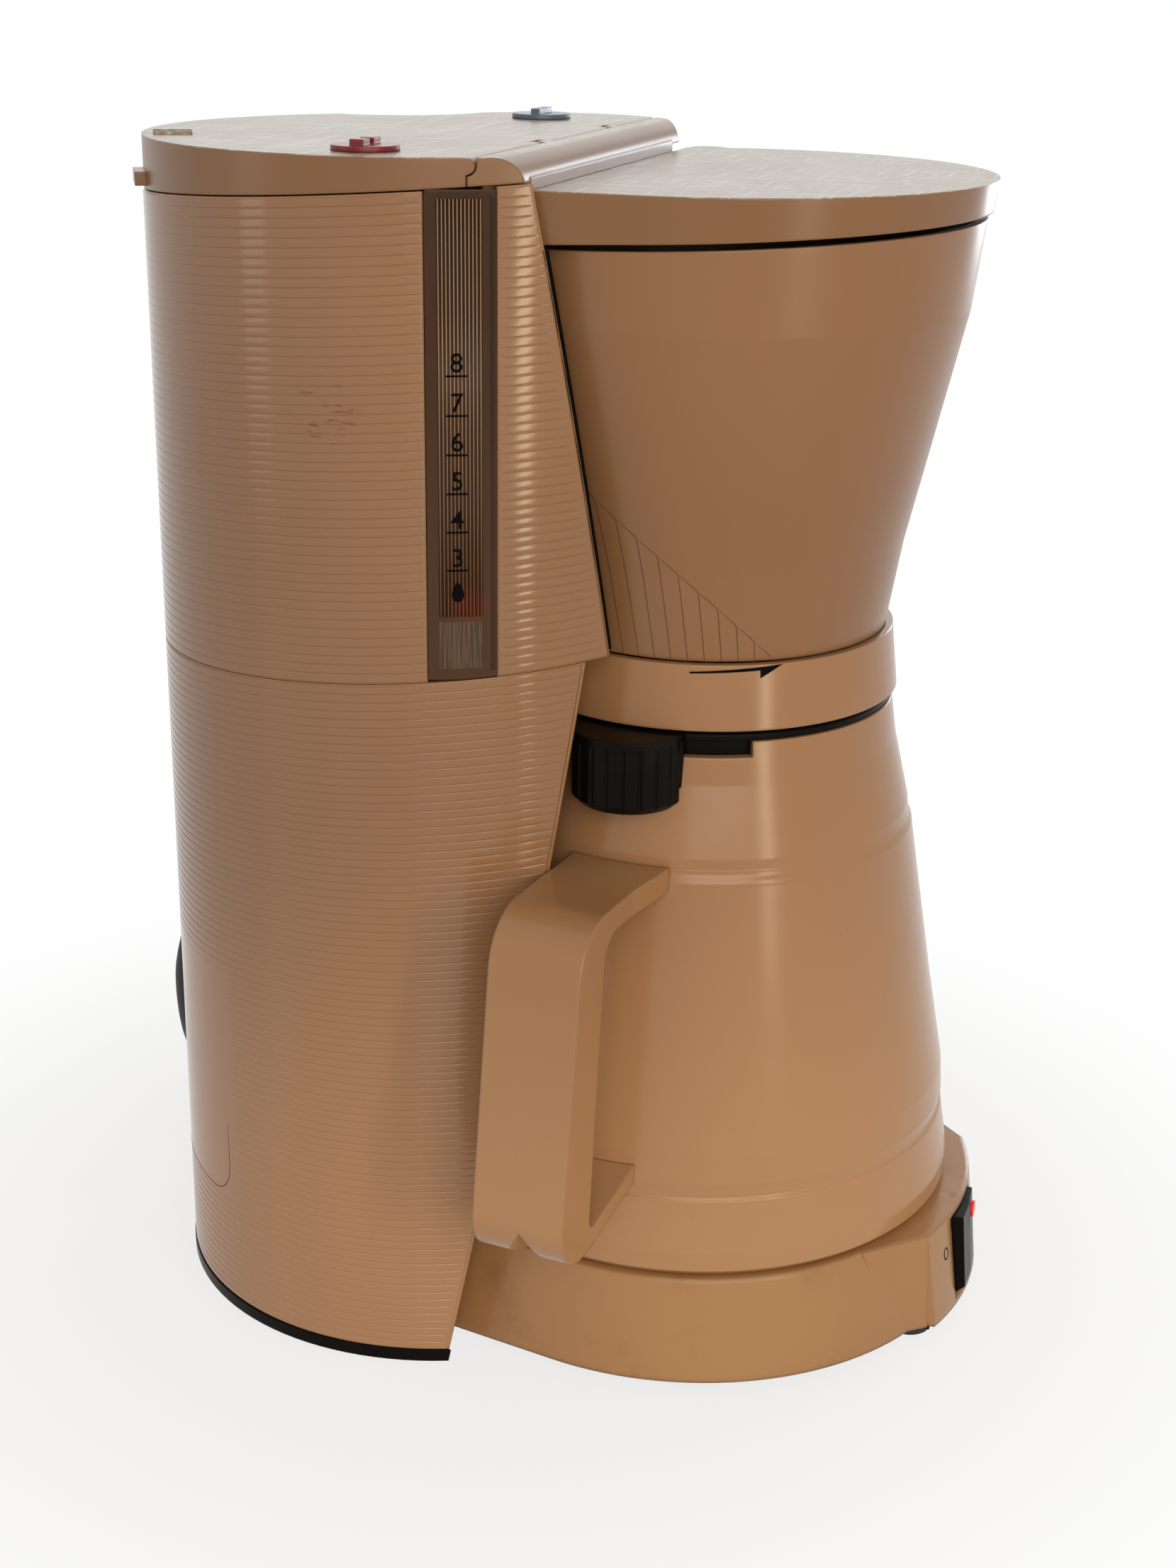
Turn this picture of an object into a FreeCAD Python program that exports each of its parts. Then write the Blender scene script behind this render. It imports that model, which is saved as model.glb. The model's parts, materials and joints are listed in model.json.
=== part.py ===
"""Drip coffee maker with a thermal carafe: a round water tower, a swing-out filter cone and a jug.

Millimetres. +Z is up, the front is -Y, and the origin is the brewing axis on the counter.
"""
import FreeCAD, Part
import Sketcher
import math
import os

Vector = FreeCAD.Vector
doc = FreeCAD.newDocument("coffee_maker")
sheet = doc.addObject("Spreadsheet::Sheet", "Sizes")

# Driving sizes in millimetres, angles in degrees
SIZES = {
    # walls and clearances
    "wall": 2.5,              # moulded wall
    "seam": 0.2,              # between fixed pieces
    "gap": 0.4,               # between pieces that move apart
    "fit": 0.06,              # running fit, radial
    # tower plan: a main round, a side lobe and a flute between them
    "tower_x": -16.0,
    "tower_y": 75.0,
    "tower_radius": 77.0,
    "lobe_x": 38.0,
    "lobe_y": 62.0,
    "lobe_radius": 40.0,
    "flute_x": 70.0,
    "flute_y": 121.0,
    "flute_radius": 30.0,
    "tower_top": 333.0,
    # hourglass front of the tower, turned about the brewing axis
    "recess_foot_radius": 99.6,
    "recess_waist_radius": 66.5,
    "waist_height": 204.0,
    "nest_low_radius": 59.3,
    "nest_high_radius": 77.6,
    "nest_high": 311.0,
    # slanted joint lines, heights at the brewing axis
    "tank_seam_height": 206.7,
    "lid_seam_height": 329.0,
    "seam_slant": 3.85,
    "cover_seam_height": 313.3,
    "cover_slant": 2.75,
    # base
    "foot_height": 1.5,
    "plate_thickness": 3.5,
    "plate_rim": 0.6,
    "base_bottom": 4.6,
    "base_top": 34.0,
    "base_low_radius": 83.9,
    "base_top_radius": 78.0,
    "neck_back": 100.0,
    "neck_turn": 11.7,
    "block_half": 31.0,
    "block_low_radius": 88.5,
    "block_top_radius": 85.0,
    "foot_radius": 6.5,
    # bridge, cover and lid
    "bridge_front": 28.0,
    "bridge_back": 38.0,
    "bridge_roll": 7.0,
    "cover_low_radius": 71.9,
    "cover_radius": 73.4,
    "cover_top": 325.0,
    "ceiling_top": 314.5,
    "lid_edge": 2.0,
    "lid_pin_radius": 1.0,
    "lid_lug_place": 29.0,
    "lid_lug_width": 6.0,
    # filter carrier and basket
    "carrier_bottom": 186.0,
    "carrier_top": 203.6,
    "carrier_low_radius": 54.4,
    "carrier_top_radius": 52.4,
    "basket_bottom": 204.1,
    "basket_low_radius": 50.4,
    "basket_mid_radius": 54.2,
    "basket_mid_height": 228.0,
    "basket_high_radius": 68.1,
    "basket_high_height": 291.0,
    "basket_rim_radius": 71.4,
    "basket_rim_height": 318.0,
    "basket_seam_drop": 1.8,
    "hinge_x": 70.0,
    "hinge_y": 22.0,
    "hinge_radius": 5.0,
    "hinge_pin_radius": 2.0,
    "lug_height": 8.0,
    "drain_radius": 6.0,
    # drip stop
    "valve_hole_radius": 4.6,
    "plunger_radius": 3.0,
    "guide_bottom": 198.5,
    "guide_top": 203.0,
    "spring_wire": 0.5,
    "spring_turns": 3.0,
    # water path
    "pipe_radius": 3.8,
    "pipe_bore": 2.6,
    "heater_radius": 45.0,
    "heater_tube": 5.5,
    "heater_rod": 4.0,
    "heater_height": 18.0,
    "heater_leg": 38.0,
    "riser_back": 91.5,
    "hose_back": 100.0,
    "hose_radius": 5.0,
    "shower_radius": 22.0,
    "run_height": 318.5,
    # tank
    "tank_floor": 210.0,
    "gauge_middle": 205.75,
    "gauge_angle": 13.1,
    "float_radius": 7.0,
    "float_height": 10.0,
    "rod_radius": 1.5,
    # dials
    "dial_radius": 8.5,
    "dial_stem": 3.0,
    "red_dial_x": -75.0,
    "red_dial_y": 70.0,
    "blue_dial_x": 52.0,
    "blue_dial_y": 68.0,
    # switch
    "rocker_half": 10.2,
    "rocker_x": -5.3,
    "rocker_bottom": 6.4,
    "rocker_top": 32.4,
    "rocker_pivot_y": -81.0,
    "rocker_pin_radius": 1.5,
    # carafe
    "carafe_bottom": 34.5,
    "carafe_band_top": 57.0,
    "carafe_shoulder": 147.0,
    "carafe_top": 182.6,
    "carafe_wall": 2.3,
    "band_radius": 77.4,
    "waist_radius": 74.5,
    "shoulder_radius": 61.0,
    "collar_low_radius": 59.6,
    "collar_top_radius": 53.3,
    "mouth_radius": 50.9,
    "neck_radius": 38.0,
    "glass_wall": 2.0,
    "liner_top": 179.0,
    "liner_radius": 67.0,
    "lid_top": 185.2,
    "stopper_radius": 30.8,
    "handle_angle": 173.0,
    "handle_half": 12.9,
    "handle_top": 149.5,
    "handle_bottom": 56.0,
    "handle_top_reach": 109.2,
    "handle_low_reach": 122.3,
    "handle_top_inner": 95.2,
    "handle_low_inner": 103.6,
    "handle_strap": 7.0,
    "handle_strut": 5.0,
    "handle_bend": 16.0,
    "handle_foot_bend": 12.0,
    "drum_radius": 15.5,
    "drum_place": 53.0,
    "drum_bottom": 165.0,
    "lid_turn": 20.0,
    # cord recess, cord and plug
    "bay_angle": 85.8,
    "bay_half": 34.0,
    "bay_depth": 22.0,
    "bay_corner": 12.0,
    "bay_bottom": 38.0,
    "bay_top": 128.0,
    "cord_radius": 3.25,
    "coil_x": 104.0,
    "coil_y": 128.0,
    "coil_radius": 39.2,
    "coil_turns": 3.25,
    "coil_step": 7.1,
    "coil_rest": 4.6,
    "coil_tail": 30.0,
    "plug_length": 34.0,
    "plug_radius": 11.5,
    "plug_pin_radius": 2.4,
    "plug_pin_length": 19.0,
    "plug_pin_pitch": 19.0,
    # screws under the plate
    "screw_radius": 2.0,
    "screw_head": 3.6,
    "boss_radius": 4.5,
}


class Size:
    """A number together with the sheet formula that it comes from."""

    def __init__(self, number, text):
        self.number = number
        self.text = text

    def __add__(self, other):
        other = as_size(other)
        return Size(self.number + other.number, f"({self.text} + {other.text})")

    def __radd__(self, other):
        return as_size(other) + self

    def __sub__(self, other):
        other = as_size(other)
        return Size(self.number - other.number, f"({self.text} - {other.text})")

    def __rsub__(self, other):
        return as_size(other) - self

    def __mul__(self, other):
        other = as_size(other)
        return Size(self.number * other.number, f"({self.text} * {other.text})")

    def __rmul__(self, other):
        return as_size(other) * self

    def __truediv__(self, other):
        other = as_size(other)
        return Size(self.number / other.number, f"({self.text} / {other.text})")

    def __neg__(self):
        return 0 - self


def as_size(value):
    return value if isinstance(value, Size) else Size(float(value), f"({float(value)})")


def cosine(angle):
    angle = as_size(angle)
    return Size(math.cos(math.radians(angle.number)), f"cos({angle.text})")


def sine(angle):
    angle = as_size(angle)
    return Size(math.sin(math.radians(angle.number)), f"sin({angle.text})")


def tangent(angle):
    angle = as_size(angle)
    return Size(math.tan(math.radians(angle.number)), f"tan({angle.text})")


def arctangent(ratio):
    ratio = as_size(ratio)
    return Size(math.degrees(math.atan(ratio.number)), f"atan({ratio.text})")


class Sheet:
    """The sheet's cells by name, each as a Size."""

    def __init__(self, values):
        for row, (name, value) in enumerate(values.items(), start=1):
            sheet.set(f"A{row}", name)
            sheet.set(f"B{row}", str(value))
            sheet.setAlias(f"B{row}", name)
            setattr(self, name, Size(float(value), f"Sizes.{name}"))
        doc.recompute()


s = Sheet(SIZES)
X_AXIS = Vector(1, 0, 0)
Y_AXIS = Vector(0, 1, 0)
Z_AXIS = Vector(0, 0, 1)
FAR = 400.0                   # a length past every side of the object


def bind(obj, path, value):
    obj.setExpression(path, as_size(value).text)


def place(obj, x, y, z):
    for axis, value in zip("xyz", (x, y, z)):
        bind(obj, f"Placement.Base.{axis}", value)
    return obj


# Primitives and booleans
def cylinder(name, radius, low, high, x=0, y=0):
    obj = doc.addObject("Part::Cylinder", name)
    bind(obj, "Radius", radius)
    bind(obj, "Height", as_size(high) - low)
    return place(obj, x, y, low)


def level_cylinder(name, radius, start, end, y, z):
    """A cylinder along X from start to end."""
    obj = doc.addObject("Part::Cylinder", name)
    obj.Placement = FreeCAD.Placement(Vector(), FreeCAD.Rotation(Y_AXIS, 90))
    bind(obj, "Radius", radius)
    bind(obj, "Height", as_size(end) - start)
    return place(obj, start, y, z)


def cone(name, low_radius, high_radius, low, high):
    obj = doc.addObject("Part::Cone", name)
    bind(obj, "Radius1", low_radius)
    bind(obj, "Radius2", high_radius)
    bind(obj, "Height", as_size(high) - low)
    return place(obj, 0, 0, low)


def block(name, x, y, z):
    """A box between two values on each axis."""
    obj = doc.addObject("Part::Box", name)
    for path, (low, high) in zip(("Length", "Width", "Height"), (x, y, z)):
        bind(obj, path, as_size(high) - low)
    return place(obj, x[0], y[0], z[0])


def radial_block(name, centre, angle, reach, width, z, shift=0):
    """A box whose length runs outwards from a centre, at an angle from +X."""
    angle = as_size(angle)
    side = as_size(shift) - as_size(width) / 2
    obj = doc.addObject("Part::Box", name)
    obj.Placement = FreeCAD.Placement(Vector(), FreeCAD.Rotation(Z_AXIS, angle.number))
    bind(obj, "Placement.Rotation.Angle", angle)
    bind(obj, "Length", as_size(reach[1]) - reach[0])
    bind(obj, "Width", width)
    bind(obj, "Height", as_size(z[1]) - z[0])
    x = centre[0] + reach[0] * cosine(angle) - side * sine(angle)
    y = centre[1] + reach[0] * sine(angle) + side * cosine(angle)
    return place(obj, x, y, z[0])


def above(name, height, slant):
    """All that lies over a plane through the brewing axis at a height, falling to the back by a slant."""
    obj = doc.addObject("Part::Box", name)
    obj.Placement = FreeCAD.Placement(Vector(), FreeCAD.Rotation(X_AXIS, -as_size(slant).number))
    bind(obj, "Placement.Rotation.Angle", -as_size(slant))
    for path in ("Length", "Width", "Height"):
        bind(obj, path, 2 * FAR)
    return place(obj, -FAR, -FAR * cosine(slant), height + FAR * sine(slant))


def below(name, height, slant):
    """All that lies under such a plane."""
    obj = above(name, height, slant)
    drop = 2 * FAR
    return place(obj, -FAR, -FAR * cosine(slant) - drop * sine(slant),
                 height + FAR * sine(slant) - drop * cosine(slant))


def fuse(name, *shapes):
    obj = doc.addObject("Part::MultiFuse", name)
    obj.Shapes = list(shapes)
    obj.Refine = True
    return obj


def common(name, *shapes):
    obj = doc.addObject("Part::MultiCommon", name)
    obj.Shapes = list(shapes)
    obj.Refine = True
    return obj


def cut(name, base, *tools):
    obj = doc.addObject("Part::Cut", name)
    obj.Base = base
    obj.Tool = tools[0] if len(tools) == 1 else fuse(name + "_tools", *tools)
    obj.Refine = True
    return obj


# Sketched bodies
def sketch_on(body, role, points):
    """A closed outline of straight lines through points, each held by its two distances from the origin."""
    plane = next(item for item in body.Origin.OriginFeatures if item.Role == role)
    sketch = body.newObject("Sketcher::SketchObject", body.Name + "_outline")
    sketch.AttachmentSupport = (plane, [""])
    sketch.MapMode = "FlatFace"
    points = [(as_size(across), as_size(up)) for across, up in points]
    corners = [Vector(across.number, up.number, 0) for across, up in points]
    for start, end in zip(corners, corners[1:] + corners[:1]):
        sketch.addGeometry(Part.LineSegment(start, end), False)
    count = len(points)
    for index in range(count):
        sketch.addConstraint(Sketcher.Constraint("Coincident", index, 2, (index + 1) % count, 1))
    for index, pair in enumerate(points):
        for kind, value, axis in zip(("DistanceX", "DistanceY"), pair, (-2, -1)):
            if value.number == 0:
                sketch.addConstraint(Sketcher.Constraint("PointOnObject", index, 1, axis))
                continue
            number = sketch.addConstraint(Sketcher.Constraint(kind, -1, 1, index, 1, value.number))
            bind(sketch, f"Constraints[{number}]", value)
    return sketch


def turned(name, profile):
    """A body turned about the brewing axis from (radius, height) points."""
    body = doc.addObject("PartDesign::Body", name)
    sketch = sketch_on(body, "XZ_Plane", profile)
    turn = body.newObject("PartDesign::Revolution", name + "_turn")
    turn.Profile = sketch
    turn.ReferenceAxis = (sketch, ["V_Axis"])
    turn.Angle = 360
    body.Tip = turn
    return body


def solid(name, shape):
    """A piece whose form is a swept tube, set from its own shape."""
    obj = doc.addObject("Part::Feature", name)
    obj.Shape = shape
    return obj


# Paths and tubes
def rounded_path(points, radius=None):
    """Straight runs joined by tangent arcs, each as large as its runs allow or of a given radius."""
    edges = []
    start = points[0]
    radii = []
    for before, corner, after in zip(points, points[1:], points[2:]):
        into = (corner - before).normalize()
        out = (after - corner).normalize()
        turn = into.getAngle(out)
        reach = 0.45 * min((corner - before).Length, (after - corner).Length)
        bend = reach / math.tan(turn / 2)
        if radius is not None:
            bend = radius
            reach = radius * math.tan(turn / 2)
        first = corner - into * reach
        last = corner + out * reach
        bisector = (out - into).normalize()
        middle = corner + bisector * (bend / math.cos(turn / 2) - bend)
        edges.append(Part.LineSegment(start, first).toShape())
        edges.append(Part.Arc(first, middle, last).toShape())
        start = last
        radii.append(bend)
    edges.append(Part.LineSegment(start, points[-1]).toShape())
    return Part.Wire(edges), radii


def biarc(start, start_way, end, end_way):
    """Two arcs that meet smoothly, from a point and its direction to another."""
    span = end - start
    ways = start_way + end_way
    square = 2 * (1 - start_way.dot(end_way))
    along = span.dot(ways)
    reach = (math.sqrt(along ** 2 + square * span.dot(span)) - along) / square
    middle = (start + start_way * reach + end - end_way * reach) * 0.5
    back = arc_from(end, end_way * -1, middle)
    return [arc_from(start, start_way, middle), back]


def arc_from(start, way, end):
    """The arc that leaves a point in a direction and ends at another."""
    span = (end - start).Length
    chord = (end - start).normalize()
    side = (way - chord * way.dot(chord)).normalize()
    quarter = way.getAngle(chord) / 2
    crown = (start + end) * 0.5 + side * (span / 2 * math.tan(quarter))
    return Part.Arc(start, crown, end).toShape()


def winding_path(place_at, turns):
    """A winding as two arcs for each quarter turn; place_at gives the point at a number of turns."""
    steps = round(turns * 4)
    nudge = 1e-4
    edges = []
    for step in range(steps):
        ends = []
        for at in (step / 4, (step + 1) / 4):
            low = max(at - nudge, 0)
            high = min(at + nudge, turns)
            ends += [place_at(at), (place_at(high) - place_at(low)).normalize()]
        edges += biarc(*ends)
    return edges


def swept(path, radius):
    """A round tube along a path."""
    edge = path.OrderedEdges[0]
    start = edge.valueAt(edge.FirstParameter)
    way = edge.tangentAt(edge.FirstParameter)
    if (start - path.OrderedVertexes[0].Point).Length > 1e-6:
        start = edge.valueAt(edge.LastParameter)
        way = edge.tangentAt(edge.LastParameter)
    ring = Part.Wire([Part.Circle(start, way, radius).toShape()])
    return path.makePipeShell([ring], True, False)


def hose(path, radius, bore):
    return swept(path, radius).cut(swept(path, bore))


# Tower plan
def outline(name, inset, low, high):
    """The tower's plan, drawn in by an inset, between two heights."""
    main = cylinder(name + "_main", s.tower_radius - inset, low, high, s.tower_x, s.tower_y)
    lobe = cylinder(name + "_lobe", s.lobe_radius - inset, low, high, s.lobe_x, s.lobe_y)
    flute = cylinder(name + "_flute", s.flute_radius + inset, low, high, s.flute_x, s.flute_y)
    return cut(name, fuse(name + "_rounds", main, lobe), flute)


recess_slope = (s.recess_foot_radius - s.recess_waist_radius) / s.waist_height
nest_low = s.waist_height + 2
nest_slope = (s.nest_high_radius - s.nest_low_radius) / (s.nest_high - nest_low)


def carafe_recess(name, grow):
    """The widening hollow in the front of the column."""
    over = 8
    return cone(name, s.recess_foot_radius + grow, s.recess_waist_radius + grow - over * recess_slope,
                0, s.waist_height + over)


def cone_nest(name, grow):
    """The hollow in the front of the tank, round the filter cone."""
    low = s.waist_height - 14
    over = 30
    return cone(name, s.nest_low_radius + grow - 16 * nest_slope,
                s.nest_high_radius + grow + over * nest_slope,
                low, s.nest_high + over)


plate_top = s.foot_height + s.plate_thickness
tower_axis = (s.tower_x, s.tower_y)
brew_axis = (as_size(0), as_size(0))


# Base plate, feet and screws
BASE_SCREWS = ((-58, -15), (58, -15))
BOSS_ANGLE = 160.0
BOSS_IN = 19.4
near_boss_reach = s.tower_radius.number - BOSS_IN
NEAR_BOSS = (s.tower_x.number + near_boss_reach * math.cos(math.radians(BOSS_ANGLE)),
             s.tower_y.number + near_boss_reach * math.sin(math.radians(BOSS_ANGLE)))
COLUMN_SCREWS = (NEAR_BOSS, (30, 105))
SCREW_PLACES = BASE_SCREWS + COLUMN_SCREWS
PLATE_NECK_HALF = 68.0
PLATE_INSET = 9.0
boss_top = s.base_bottom + 18


def base_plate():
    """One plate under all, whose rim shows below the column."""
    low = s.foot_height
    tower = cut("plate_tower", outline("plate_round", -s.plate_rim, low, plate_top),
                carafe_recess("plate_front_limit", as_size(0)))
    disc = cylinder("plate_disc", s.base_low_radius - PLATE_INSET, low, s.base_bottom)
    front = block("plate_front", (3 - s.block_half, s.block_half - 3), (-s.block_top_radius + 4, 0),
                  (low, s.base_bottom))
    neck = cut("plate_neck", block("plate_neck_form", (-PLATE_NECK_HALF, PLATE_NECK_HALF), (0, s.neck_back),
                                   (low, s.base_bottom)),
               cylinder("plate_flute", s.flute_radius + s.wall, 0, FAR, s.flute_x, s.flute_y))
    post_top = s.heater_height - s.heater_tube - s.seam / 3
    post_places = ((0, -s.heater_radius), (-s.heater_radius, 15), (s.heater_radius, 15))
    posts = [cylinder(f"plate_post{number}", 4, s.base_bottom - 1, post_top, x, y)
             for number, (x, y) in enumerate(post_places)]
    holes = [cylinder(f"plate_hole{number}", s.screw_radius + 0.1, 0, 20, x, y)
             for number, (x, y) in enumerate(SCREW_PLACES)]
    return cut("base_plate", fuse("plate_body", tower, disc, front, neck, *posts), *holes)


def screws():
    made = []
    for number, (x, y) in enumerate(SCREW_PLACES):
        head = cylinder(f"screw{number}_head", s.screw_head, s.foot_height - 1, s.foot_height, x, y)
        shank = cylinder(f"screw{number}_shank", s.screw_radius, s.foot_height - 0.5, boss_top - 6, x, y)
        slot = block(f"screw{number}_slot", (x - s.screw_head, x + s.screw_head), (y - 0.5, y + 0.5),
                     (0, s.foot_height - 0.5))
        made.append(cut(f"screw{number}", fuse(f"screw{number}_form", head, shank), slot))
    return compound("base_screws", made)


def boss_bores(name, places):
    return [cylinder(f"{name}_bore{number}", s.screw_radius + 0.02, 0, boss_top - 5, x, y)
            for number, (x, y) in enumerate(places)]


FOOT_PLACES = ((-24, -74), (24, -74), (-62, 106), (52, 76))


def feet():
    pads = [cylinder(f"foot{number}", s.foot_radius, 0, s.foot_height, x, y)
            for number, (x, y) in enumerate(FOOT_PLACES)]
    return compound("rubber_feet", pads)


def compound(name, shapes):
    obj = doc.addObject("Part::Compound", name)
    obj.Links = shapes
    return obj


# Base housing with the switch block
opening_half = s.rocker_half + 1.3
base_flare = (s.base_low_radius - s.base_top_radius) / (s.base_top - s.base_bottom)
block_flare = (s.block_low_radius - s.block_top_radius) / (s.base_top - s.base_bottom)


def polygon(name, points, height):
    """A closed level outline of straight lines at a height."""
    obj = doc.addObject("Part::Polygon", name)
    obj.Nodes = [Vector(as_size(x).number, as_size(y).number, as_size(height).number) for x, y in points]
    obj.Close = True
    return obj


def tapered(name, low_points, high_points, low, high):
    """A solid between two level outlines."""
    obj = doc.addObject("Part::Loft", name)
    obj.Sections = [polygon(name + "_foot", low_points, low), polygon(name + "_head", high_points, high)]
    obj.Solid = True
    obj.Ruled = True
    return obj


def neck_outline(radius):
    """The neck's plan: its sides leave a round at a tangent and run back to the tower."""
    front_half = radius * cosine(s.neck_turn)
    front = radius * sine(s.neck_turn)
    back_half = (radius - s.neck_back * sine(s.neck_turn)) / cosine(s.neck_turn)
    return ((-front_half, front), (front_half, front), (back_half, s.neck_back), (-back_half, s.neck_back))


def base_solid(name, inset, low, high, seam):
    """The base's form drawn in by an inset: a flared round, a neck to the tower and the switch block."""
    low_radius = s.base_low_radius - inset - (low - s.base_bottom) * base_flare
    top_radius = s.base_low_radius - inset - (high - s.base_bottom) * base_flare
    disc = cone(name + "_disc", low_radius, top_radius, low, high)
    neck = tapered(name + "_neck", neck_outline(low_radius), neck_outline(top_radius), low, high)
    nose = cone(name + "_nose", s.block_low_radius - inset - (low - s.base_bottom) * block_flare,
                s.block_low_radius - inset - (high - s.base_bottom) * block_flare, low, high)
    span = block(name + "_span", (inset - s.block_half, s.block_half - inset),
                 (-2 * s.block_half - 60, -40), (low, high))
    switch_block = common(name + "_block", nose, span)
    whole = fuse(name + "_whole", disc, neck, switch_block)
    return common(name, whole, carafe_recess(name + "_limit", -seam))


def fairing(name, side):
    """The fill in the corner between the flared round and a side of the switch block."""
    half = s.block_half * side
    low_front = -80.8
    top_front = -79.1
    low_points = ((half * 1.2, -74.0), (half * 1.03, low_front), (half * 0.9, low_front),
                  (half * 0.9, -66.0))
    top_points = ((half * 1.5, -63.2), (half, top_front), (half * 0.9, top_front), (half * 0.9, -62.0))
    return tapered(name, low_points, top_points, s.base_bottom, s.base_top)


def base_housing():
    form = base_solid("base_outer", as_size(0), s.base_bottom, s.base_top, 2 * s.seam)
    outer = fuse("base_faired", form, fairing("base_fairing_near", -1), fairing("base_fairing_far", 1))
    inner = base_solid("base_inner", s.wall, s.base_bottom, s.base_top - s.wall, -s.wall)
    mouth = block("base_mouth", (s.rocker_x - opening_half, s.rocker_x + opening_half),
                  (-100, s.rocker_pivot_y + 9),
                  (s.rocker_bottom - s.gap, s.rocker_top + s.gap))
    shell = cut("base_shell", outer, inner, mouth)
    sill = block("base_sill", (s.rocker_x - 4, s.rocker_x + 4),
                 (1 - s.block_low_radius, s.rocker_pivot_y + 3.4),
                 (s.base_bottom, s.rocker_bottom - s.gap))
    lintel = block("base_lintel", (s.rocker_x - 4, s.rocker_x + 4),
                   (s.rocker_pivot_y, s.rocker_pivot_y + 3.4),
                   (s.rocker_top + s.gap, s.base_top))
    bore = cylinder("base_pin_bore", s.rocker_pin_radius + 0.02, s.base_bottom + 0.4, s.base_top - 0.6,
                    s.rocker_x, s.rocker_pivot_y)
    bosses = [cylinder(f"base_boss{number}", s.boss_radius, s.base_bottom + 0.05, s.base_top - 1, x, y)
              for number, (x, y) in enumerate(BASE_SCREWS)]
    body = fuse("base_body", shell, sill, lintel, *bosses)
    return cut("base_housing", body, bore, *boss_bores("base", BASE_SCREWS))


# Column: the lower half of the tower
def cylinder_along(name, radius, start, way, length):
    """A cylinder from a point along a direction."""
    obj = doc.addObject("Part::Cylinder", name)
    bind(obj, "Radius", radius)
    bind(obj, "Height", length)
    obj.Placement = FreeCAD.Placement(start, FreeCAD.Rotation(Z_AXIS, way))
    return obj


def cord_bay(name, grow):
    """The flat-backed bay for the cord at the back of the column, with two round lower corners."""
    start = s.tower_radius - s.bay_depth - grow
    end = s.tower_radius + 20
    half = s.bay_half + grow
    corner = s.bay_corner + grow
    low = s.bay_bottom - grow
    upper = radial_block(name + "_upper", tower_axis, s.bay_angle, (start, end), 2 * half,
                         (low + corner, s.bay_top + grow))
    lower = radial_block(name + "_lower", tower_axis, s.bay_angle, (start, end), 2 * (half - corner),
                         (low, low + 2 * corner))
    rounds = []
    for side in (-1, 1):
        obj = doc.addObject("Part::Cylinder", name + ("_right" if side < 0 else "_left"))
        radians = math.radians(s.bay_angle.number)
        way = Vector(math.cos(radians), math.sin(radians), 0)
        obj.Placement = FreeCAD.Placement(Vector(), FreeCAD.Rotation(Z_AXIS, way))
        bind(obj, "Radius", corner)
        bind(obj, "Height", end - start)
        shift = side * (half - corner)
        rounds.append(place(obj, s.tower_x + start * cosine(s.bay_angle) - shift * sine(s.bay_angle),
                            s.tower_y + start * sine(s.bay_angle) + shift * cosine(s.bay_angle),
                            low + corner))
    return fuse(name, upper, lower, *rounds)


# Cord: it hangs from the roof of the bay, falls to the counter and ends in a coil behind the tower
def coil_place(turn):
    """Piled loops: in over the lower layer, up in a half turn, then out over the upper one."""
    turns = s.coil_turns.number
    inward = min(turn, turns - turn)
    radius = s.coil_radius.number - s.coil_step.number * inward
    climb = min(max(turn - turns / 2 + 0.25, 0.0) / 0.5, 1.0)
    height = s.coil_rest.number + s.coil_step.number * climb * climb * (3 - 2 * climb)
    angle = math.pi / 2 - 2 * math.pi * turn
    return Vector(s.coil_x.number + radius * math.cos(angle), s.coil_y.number + radius * math.sin(angle),
                  height)


SMALL_TURN = 1e-4
coil_turns = s.coil_turns.number
COIL_START = coil_place(0)
COIL_START_WAY = (coil_place(SMALL_TURN) - COIL_START).normalize()
COIL_END = coil_place(coil_turns)
COIL_END_WAY = (COIL_END - coil_place(coil_turns - SMALL_TURN)).normalize()
GLAND_RADIUS = 5.0
CORD_START = Vector(-33.0, 143.4, 114.0)
CORD_FIRST = Vector(-30.0, 154.0, 90.0)
GLAND_WAY = (CORD_FIRST - CORD_START).normalize()
GLAND_LENGTH = (s.bay_top.number - CORD_START.z) / -GLAND_WAY.z
GLAND_FOOT = CORD_START - GLAND_WAY * GLAND_LENGTH
CORD_END = COIL_START - COIL_START_WAY * (2 * s.cord_radius.number)
CORD_POINTS = (
    CORD_START,
    CORD_FIRST,
    Vector(-21.0, 159.5, 66.0),
    Vector(-5.0, 165.0, 43.0),
    Vector(18.0, 169.0, 22.0),
    Vector(43.0, 171.0, 8.5),
    Vector(67.0, 169.5, 4.6),
    CORD_END - COIL_START_WAY * 14.0,
    CORD_END,
)


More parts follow.
